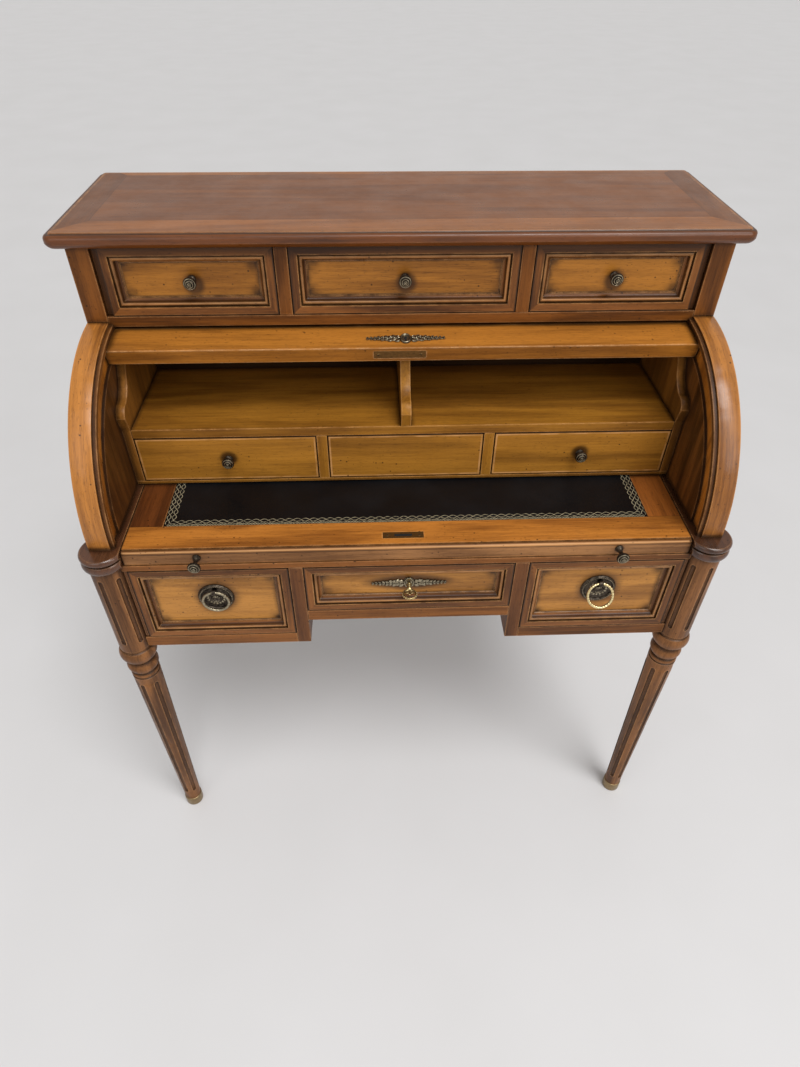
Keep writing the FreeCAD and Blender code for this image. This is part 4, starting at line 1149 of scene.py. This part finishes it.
@dataclass
class LowerCase(SubAssembly):
    """The kneehole case, the legs and their foot caps."""

    arris: float = 1.0 * MM

    def build(self) -> None:
        """Make and dress the pieces."""
        self.dress("side_ledges", LEDGE.material(Grain.BACKWARD, 0.3))
        self.dress("side_panels", FRAME.material(Grain.BACKWARD, 0.5), self.arris)
        self.dress("pedestal_partitions", STILE.material(Grain.UPRIGHT, 0.2), self.arris)
        self.dress("drawer_floors", FRAME.material(Grain.ACROSS, 0.9), self.arris)
        self.dress("drawer_stiles", STILE.material(Grain.UPRIGHT, 0.6), self.arris)
        self.dress("lower_back_panel", BACK.material(Grain.ACROSS, 0.7), self.arris)
        self.dress("front_legs", LEG.material(Grain.UPRIGHT, 0.1))
        self.dress("rear_legs", LEG.material(Grain.UPRIGHT, 0.8))
        self.dress("foot_caps", CAP_BRASS.material(), 0.5 * MM)


@dataclass
class Drawers(SubAssembly):
    """The panelled drawers of the upper and the lower case, the upper ones with a painted shadow under the
    top.
    """

    arris: float = 0.8 * MM
    # How dark the painted shadow under the top lies on the upper fronts.
    overhang_shadow: float = 0.7

    def build(self) -> None:
        """Make and dress the pieces."""
        knob, plate, garland = (14.0, 15.0), (31.0, 31.0), (62.0, 14.0)
        # Upper fronts: the polish ring sits 8 mm below the knob, painting the knob's shadow as well as old
        # polish.
        fronts = (
            ("upper_left", (-304, 1029), (119.8, 48.8), (-302, 1021), knob),
            ("upper_middle", (0, 1029), (162.8, 48.8), (2, 1021), knob),
            ("upper_right", (304, 1029), (119.8, 48.8), (306, 1021), knob),
            ("lower_left", (-300, 618.35), (117.8, 73.15), (-299, 624), plate),
            ("lower_centre", (0, 644.85), (158.8, 46.65), (0, 646), garland),
            ("lower_right", (300, 618.35), (117.8, 73.15), (301, 624), plate),
        )
        box = BOX.material(Grain.BACKWARD, 0.4)
        for number, (name, *places) in enumerate(fronts):
            middle, half, fitting, reach = (tuple(v * MM for v in place) for place in places)
            panel, overhang_shadow = (UPPER_PANEL, self.overhang_shadow) if name.startswith("upper") else (LOWER_PANEL, 0.0)
            shift = number * 0.63
            front = PanelledFront(f"{name}_front", middle, half, fitting, reach, panel, FRAME, shift, overhang_shadow)
            self.dress(f"{name}_drawer_front", front.material(), 0.5 * MM)
            self.dress(f"{name}_drawer_box", box, self.arris)


@dataclass
class Knobs(SubAssembly):
    """The cast knobs: a turned foot, a beaded head and bright rings on it."""

    foot: Profile = ((0, 0), (5.9, 0), (5.9, 0.10), (5.3, 0.18), (4.9, 0.22), (4.9, 0.28), (3.9, 0.36),
                     (3.3, 0.55), (3.2, 0.80), (3.9, 0.92), (4.3, 1.0))
    head: Profile = ((4.5, 0.6), (4.2, 1.4), (5.4, 2.4), (7.8, 3.6), (9.0, 5.0), (9.3, 6.6), (8.9, 8.0),
                     (8.0, 8.8), (7.2, 8.9), (6.4, 9.2), (5.6, 10.4), (4.7, 10.9), (3.6, 10.9), (3.0, 11.6),
                     (2.2, 12.1), (0, 12.1))
    head_length: float = 14.5
    beads: int = 26
    bead_round: Pair = (8.75, 8.75)
    bead_level: float = 7.6
    bead_size: Triple = (0.95, 0.95, 1.1)
    tip_level: float = 12.3
    tip_size: Triple = (1.3, 1.3, 1.0)
    rings: tuple[Triple, ...] = ((7.6, 8.9, 0.75), (4.7, 10.9, 0.7), (2.2, 12.2, 0.6))
    upper: Triple = (304.0, 2.0, 1029.0)
    upper_length: float = 24.0
    interior: Triple = (277.5, -87.0, 778.5)
    interior_length: float = 20.0
    slide: Triple = (312.0, -245.0, 716.5)
    slide_length: float = 29.0

    def build(self) -> None:
        """Make and dress the pieces."""
        finishes = [BRONZE.material(), RELIEF.material()]
        ways = {"left": -1, "middle": 0, "right": 1}
        for case, sides, (x, y, z), length in (
                ("upper", ("left", "middle", "right"), self.upper, self.upper_length),
                ("interior", ("left", "right"), self.interior, self.interior_length)):
            for side in sides:
                name = f"{case}_{side}_drawer"
                place = stand(ways[side] * x, y, z)
                self.knob(length).piece(f"{name}_rosette_knob", place, finishes, name, "bronze",
                                        f"{name}_knob")
        both = Casting()
        x, y, z = self.slide
        for way in (-1, 1):
            self.knob(self.slide_length, both, Matrix.Translation((way * x, 0, 0)))
        both.piece("slide_rosette_knobs", stand(0, y, z), finishes, "writing_slide", "bronze", "slide_knobs")

    def knob(self, length: float, casting: Casting | None = None, place: Matrix = Matrix()) -> Casting:
        """One knob.

        Args:
            length: How far it stands out.
            casting: The casting that it joins, or None for one of its own.
            place: Where it goes.

        Returns:
            The casting.
        """
        casting = casting or Casting()
        neck = length - self.head_length
        profile = [(r, t * neck) for r, t in self.foot] + [(r, neck + t) for r, t in self.head]
        casting.turned(profile, 36, place)
        for radius, height, wire in self.rings:
            casting.hoop(radius, wire, place @ at(0, 0, neck + height), 36, 8, 1)
        for edge in around(self.beads, self.bead_round, neck + self.bead_level, self.bead_size):
            casting.bead(place @ edge, 0, 6)
        casting.bead(place @ at(0, 0, neck + self.tip_level, 0, self.tip_size), 1, 8)
        return casting


@dataclass
class RingPulls(SubAssembly):
    """The ring pulls: round plates with a flower basket, and rope rings."""

    x: float = 300.0
    level: float = 623.35
    hinge_y: float = -244.0
    hinge_z: float = 640.35
    radius: float = 19.75
    wire: float = 2.25
    tilt: float = math.radians(28)
    twists: int = 28
    rim: Pair = (24.6, 24.6)
    rim_beads: int = 48
    rim_level: float = 3.5
    rim_bead: Triple = (1.15, 1.15, 0.9)
    wreath: Pair = (12.6, 12.6)
    wreath_leaves: int = 16
    wreath_level: float = 2.3
    wreath_leaf: Triple = (2.6, 1.9, 0.9)
    fall: float = 0.25
    weave: Profile = ((-5.4, 2.6), (-3.4, 3.6), (-1.4, 4.4))
    cane_level: float = 5.2
    cane_slant: float = 0.5
    cane: Triple = (1.15, 0.75, 1.2)
    flower_level: float = 5.3
    flower_height: float = 1.3
    flowers: tuple[Triple, ...] = ((-4.6, 1.6, 1.7), (-1.6, 2.0, 1.9), (1.6, 2.0, 1.9), (4.6, 1.6, 1.7),
                                   (-3.0, 4.3, 1.6), (0, 5.0, 2.0), (3.0, 4.3, 1.6))

    def build(self) -> None:
        """Make and dress the pieces."""
        bronze = BRONZE.material()
        relief = RELIEF.material()
        for side, x, tilt, finish, slot in (("left", -self.x, 0.0, relief, "bronze"),
                                            ("right", self.x, self.tilt, BRASS.material(), "bright_brass")):
            self.dress(f"{side}_ring_plate", bronze)
            self.basket().piece(f"{side}_plate_basket", stand(x, PANEL_Y, self.level), [relief],
                                f"lower_{side}_drawer", "bronze")
            lean, drop = math.sin(tilt), math.cos(tilt)
            place = stand(x, self.hinge_y - self.radius * lean, self.hinge_z - self.radius * drop,
                          (0, lean, drop))
            ring = Casting()
            ring.rope(self.radius, self.wire, self.twists, Matrix())
            ring.piece(f"{side}_rope_ring", place, [finish], f"{side}_ring_pull", slot, f"{side}_ring")

    def basket(self) -> Casting:
        """A beaded rim and a basket of flowers for a plate.

        Returns:
            The casting.
        """
        casting = Casting()
        for place in around(self.rim_beads, self.rim, self.rim_level, self.rim_bead):
            casting.bead(place, sides=6)
        for place in around(self.wreath_leaves, self.wreath, self.wreath_level, self.wreath_leaf):
            casting.leaf(place)
        for row, (y, half) in enumerate(self.weave):
            count = 4 + row
            for number in range(count):
                x = half * (2 * number / (count - 1) - 1)
                slant = self.cane_slant if (number + row) % 2 else -self.cane_slant
                casting.block(at(x, y, self.cane_level - abs(x) * self.fall, slant, self.cane))
        for x, y, size in self.flowers:
            level = self.flower_level - abs(x) * self.fall
            casting.bead(at(x, y, level, 0, (size, size, self.flower_height)), sides=8)
        return casting


@dataclass
class Escutcheons(SubAssembly):
    """The garland escutcheons: an oval cartouche between tapering sprays of leaves and berries."""

    start: float = 9.0
    reach: float = 58.5
    stations: int = 9
    tip_share: float = 0.3
    sway: float = 0.9
    leaf: Triple = (4.8, 3.3, 1.7)
    berry: Triple = (1.5, 1.5, 1.4)
    curl: Pair = (1.9, 0.75)
    stem: Pair = (1.9, 1.0)
    rim: Pair = (8.2, 10.8)
    rim_beads: int = 20
    rim_level: float = 0.5
    rim_bead: Triple = (1.0, 1.0, 1.2)
    oval: Triple = (1.0, 1.32, 1.0)
    band: Pair = (6.9, 0.95)
    band_level: float = 1.6
    hole: Triple = (2.5, 2.5, 0.35)
    hole_rise: float = 1.6
    slit: Triple = (1.15, 3.2, 0.25)
    slit_rise: float = -2.2
    hole_level: float = 0.45
    cartouche: Profile = ((0, 0.2), (5.6, 0.4), (6.2, 1.2), (7.2, 1.4), (7.6, 0.6), (7.6, -0.6))
    roll_radius: float = 228.7
    roll_angle: float = math.radians(79.7)

    def build(self) -> None:
        """Make and dress the pieces."""
        finishes = [RELIEF.material(), HOLE_SHADE.material()]
        lean, rise = math.cos(self.roll_angle), math.sin(self.roll_angle)
        place = stand(0, -self.roll_radius * lean, AXIS_HEIGHT + self.roll_radius * rise, (0, rise, lean))
        self.garland().piece("roll_garland", place, finishes, "roll", "bronze", "roll_escutcheon")
        place = stand(0, PANEL_Y, KEY_HEIGHT)
        self.garland().piece("drawer_garland", place, finishes, "lower_centre_drawer", "bronze",
                             "drawer_escutcheon")

    def garland(self) -> Casting:
        """One escutcheon.

        Returns:
            The casting.
        """
        casting = Casting()
        casting.turned(self.cartouche, 40, at(0, 0, 0, 0, self.oval))
        casting.hoop(*self.band, at(0, 0, self.band_level, 0, self.oval))
        for place in around(self.rim_beads, self.rim, self.rim_level, self.rim_bead):
            casting.bead(place, sides=6)
        # The keyhole is a dark bead and block: painted shade.
        casting.bead(at(0, self.hole_rise, self.hole_level, 0, self.hole), 1, 14)
        casting.block(at(0, self.slit_rise, self.hole_level, 0, self.slit), 1)
        for side in (-1, 1):
            self.spray(casting, side)
        return casting

    def spray(self, casting: Casting, side: int) -> None:
        """The leaves and berries on one side.

        Args:
            casting: The casting that they join.
            side: -1 for the left, 1 for the right.
        """
        length = self.reach - self.start
        pitch = length / self.stations
        for number in range(self.stations):
            share = 1 - number / self.stations
            x = self.start + pitch * (number + 0.2)
            size = self.tip_share + (1 - self.tip_share) * share
            wave = self.sway * share * (1 if number % 2 else -1)
            for rise in (-1, 1):
                turn = math.atan2(rise * 0.7, side)
                shape = (self.leaf[0] * size, self.leaf[1] * size, self.leaf[2])
                casting.leaf(at(side * (x + 1.8), wave + rise * 3.9 * size, 1.2, turn, shape))
            casting.hoop(*self.curl, at(side * (x + 0.4), -wave * 2.2, 1.8, 0, (size, size, 1)), 14, 6)
            shape = (self.berry[0] * size, self.berry[1] * size, self.berry[2])
            casting.bead(at(side * (x + 3.0), wave * 1.4, 2.0, 0, shape), sides=8)
        middle = side * (self.start + self.reach) / 2
        casting.bead(at(middle, 0, 0.3, 0, (length / 2, *self.stem)), sides=16)


@dataclass
class KeyAndLock(SubAssembly):
    """The centre drawer's lock, its bolt and the key with its ornate bow."""

    bit: float = -222.0
    bow_reach: float = 39.8
    bow: Pair = (9.2, 1.7)
    bow_rim: Pair = (10.4, 10.4)
    bow_beads: int = 18
    bow_bead: Triple = (1.5, 1.4, 1.6)
    scroll: Pair = (2.7, 0.9)
    scroll_place: Pair = (3.1, -4.6)
    scroll_bead: Triple = (1.1, 1.1, 1.1)
    leaf: Triple = (3.4, 2.2, 1.3)
    leaf_rise: float = -1.6
    shaft: Profile = ((0, 0), (2.2, 0), (2.6, 0.5), (2.6, 17.0), (3.2, 17.6), (4.1, 18.6), (4.1, 20.2),
                      (3.3, 21.2), (3.0, 22.2), (3.7, 23.2), (3.7, 24.2), (2.8, 25.2), (2.5, 27.4),
                      (3.6, 28.6), (3.9, 29.8), (3.0, 31.2), (1.8, 32.6), (0, 33.2))

    def build(self) -> None:
        """Make and dress the pieces."""
        steel = STEEL.material()
        for name in ("drawer_lock", "lock_bolt"):
            self.dress(name, steel, 0.3 * MM)
        casting = Casting()
        casting.turned(self.shaft, 24, Matrix())
        self.ring(casting)
        place = stand(0, self.bit, KEY_HEIGHT)
        casting.piece("bow_key", place, [KEY_BRASS.material()], "key_turn", "bright_brass", "key")

    def ring(self, casting: Casting) -> None:
        """Bend the bow, level, with beads round it and scrolls inside.

        Args:
            casting: The key's casting.
        """
        level = Matrix.Translation((0, 0, self.bow_reach)) @ Matrix.Rotation(math.pi / 2, 4, "X")
        casting.hoop(*self.bow, level, 40, 10)
        for place in around(self.bow_beads, self.bow_rim, 0, self.bow_bead, 0.5):
            casting.bead(level @ place, sides=8)
        for side in (-1, 1):
            x, y = side * self.scroll_place[0], self.scroll_place[1]
            casting.hoop(*self.scroll, level @ at(x, y, 0), 20, 8)
            casting.bead(level @ at(x, y, 0, 0, self.scroll_bead), sides=8)
        casting.leaf(level @ at(0, self.leaf_rise, 0, math.pi / 2, self.leaf))


@dataclass
class Studio:
    """The floor, the lamps, each with its place, power and spread, and the camera."""

    floor_half: float = 40.0
    floor_tints: tuple[Colour, Colour] = (tint(215, 214, 215), tint(207, 206, 206))
    room: Colour = (1.0, 0.985, 0.965)
    room_strength: float = 0.5
    aim: Triple = (0.0, 0.0, 0.7)
    sun: tuple[Triple, float, float] = ((0.6, -0.9, 3.0), 1.7, math.radians(28))
    front_left: tuple[Triple, float, float] = ((-1.25, -1.75, 1.95), 6.5, 1.3)
    front_right: tuple[Triple, float, float] = ((1.4, -1.65, 1.95), 14.0, 1.3)
    lens: float = 23.81
    sensor: float = 36.0
    eye: Triple = (-0.04781, -0.99876, 1.43332)
    right: Triple = (0.99925, -0.03825, 0.00598)
    up: Triple = (0.02112, 0.66802, 0.74384)

    def build(self) -> None:
        """Set the stage."""
        self.floor()
        self.light()
        self.camera()

    def floor(self) -> None:
        """Lay a plain pale floor."""
        bm = bmesh.new()
        bmesh.ops.create_grid(bm, x_segments=1, y_segments=1, size=self.floor_half)
        mesh = bpy.data.meshes.new("floor")
        bm.to_mesh(mesh)
        bm.free()
        floor = bpy.data.objects.new("floor", mesh)
        bpy.context.scene.collection.objects.link(floor)
        shader = Shader("pale_floor")
        soft = shader.noise(shader.position, 3.0, 3)
        mesh.materials.append(shader.finish(shader.mix(soft, *self.floor_tints), 0.6))

    def light(self) -> None:
        """Light a pale room with a soft high sun and two broad lamps before the front."""
        world = bpy.data.worlds.new("pale_room")
        bpy.context.scene.world = world
        world.use_nodes = True
        background = next(n for n in world.node_tree.nodes if n.type == "BACKGROUND")
        background.inputs["Color"].default_value = (*self.room, 1.0)
        background.inputs["Strength"].default_value = self.room_strength
        for name, kind, (place, power, spread) in (("high_sun", "SUN", self.sun),
                                                   ("front_left", "AREA", self.front_left),
                                                   ("front_right", "AREA", self.front_right)):
            data = bpy.data.lights.new(name, kind)
            data.energy = power
            if kind == "SUN":
                data.angle = spread
            else:
                data.size = spread
            lamp = bpy.data.objects.new(name, data)
            bpy.context.scene.collection.objects.link(lamp)
            lamp.location = place
            lamp.rotation_euler = (Vector(self.aim) - Vector(place)).to_track_quat("-Z", "Y").to_euler()

    def camera(self) -> None:
        """Put the camera where the photograph was taken."""
        data = bpy.data.cameras.new("camera")
        data.lens = self.lens
        data.sensor_width = self.sensor
        camera = bpy.data.objects.new("camera", data)
        bpy.context.scene.collection.objects.link(camera)
        right, up = Vector(self.right), Vector(self.up)
        turn = Matrix((right, up, right.cross(up))).transposed().to_4x4()
        camera.matrix_world = Matrix.Translation(self.eye) @ turn
        bpy.context.scene.camera = camera
        bpy.context.scene.view_settings.view_transform = "Standard"


def main() -> None:
    """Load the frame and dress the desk."""
    logging.basicConfig(level=logging.INFO, format="%(message)s")
    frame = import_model()
    Studio().build()
    for part in (UpperCase, RollFront, Interior, WritingSlide, LowerCase, Drawers, Knobs, RingPulls,
                 Escutcheons, KeyAndLock):
        part(frame).build()


if __name__ == "__main__":
    main()
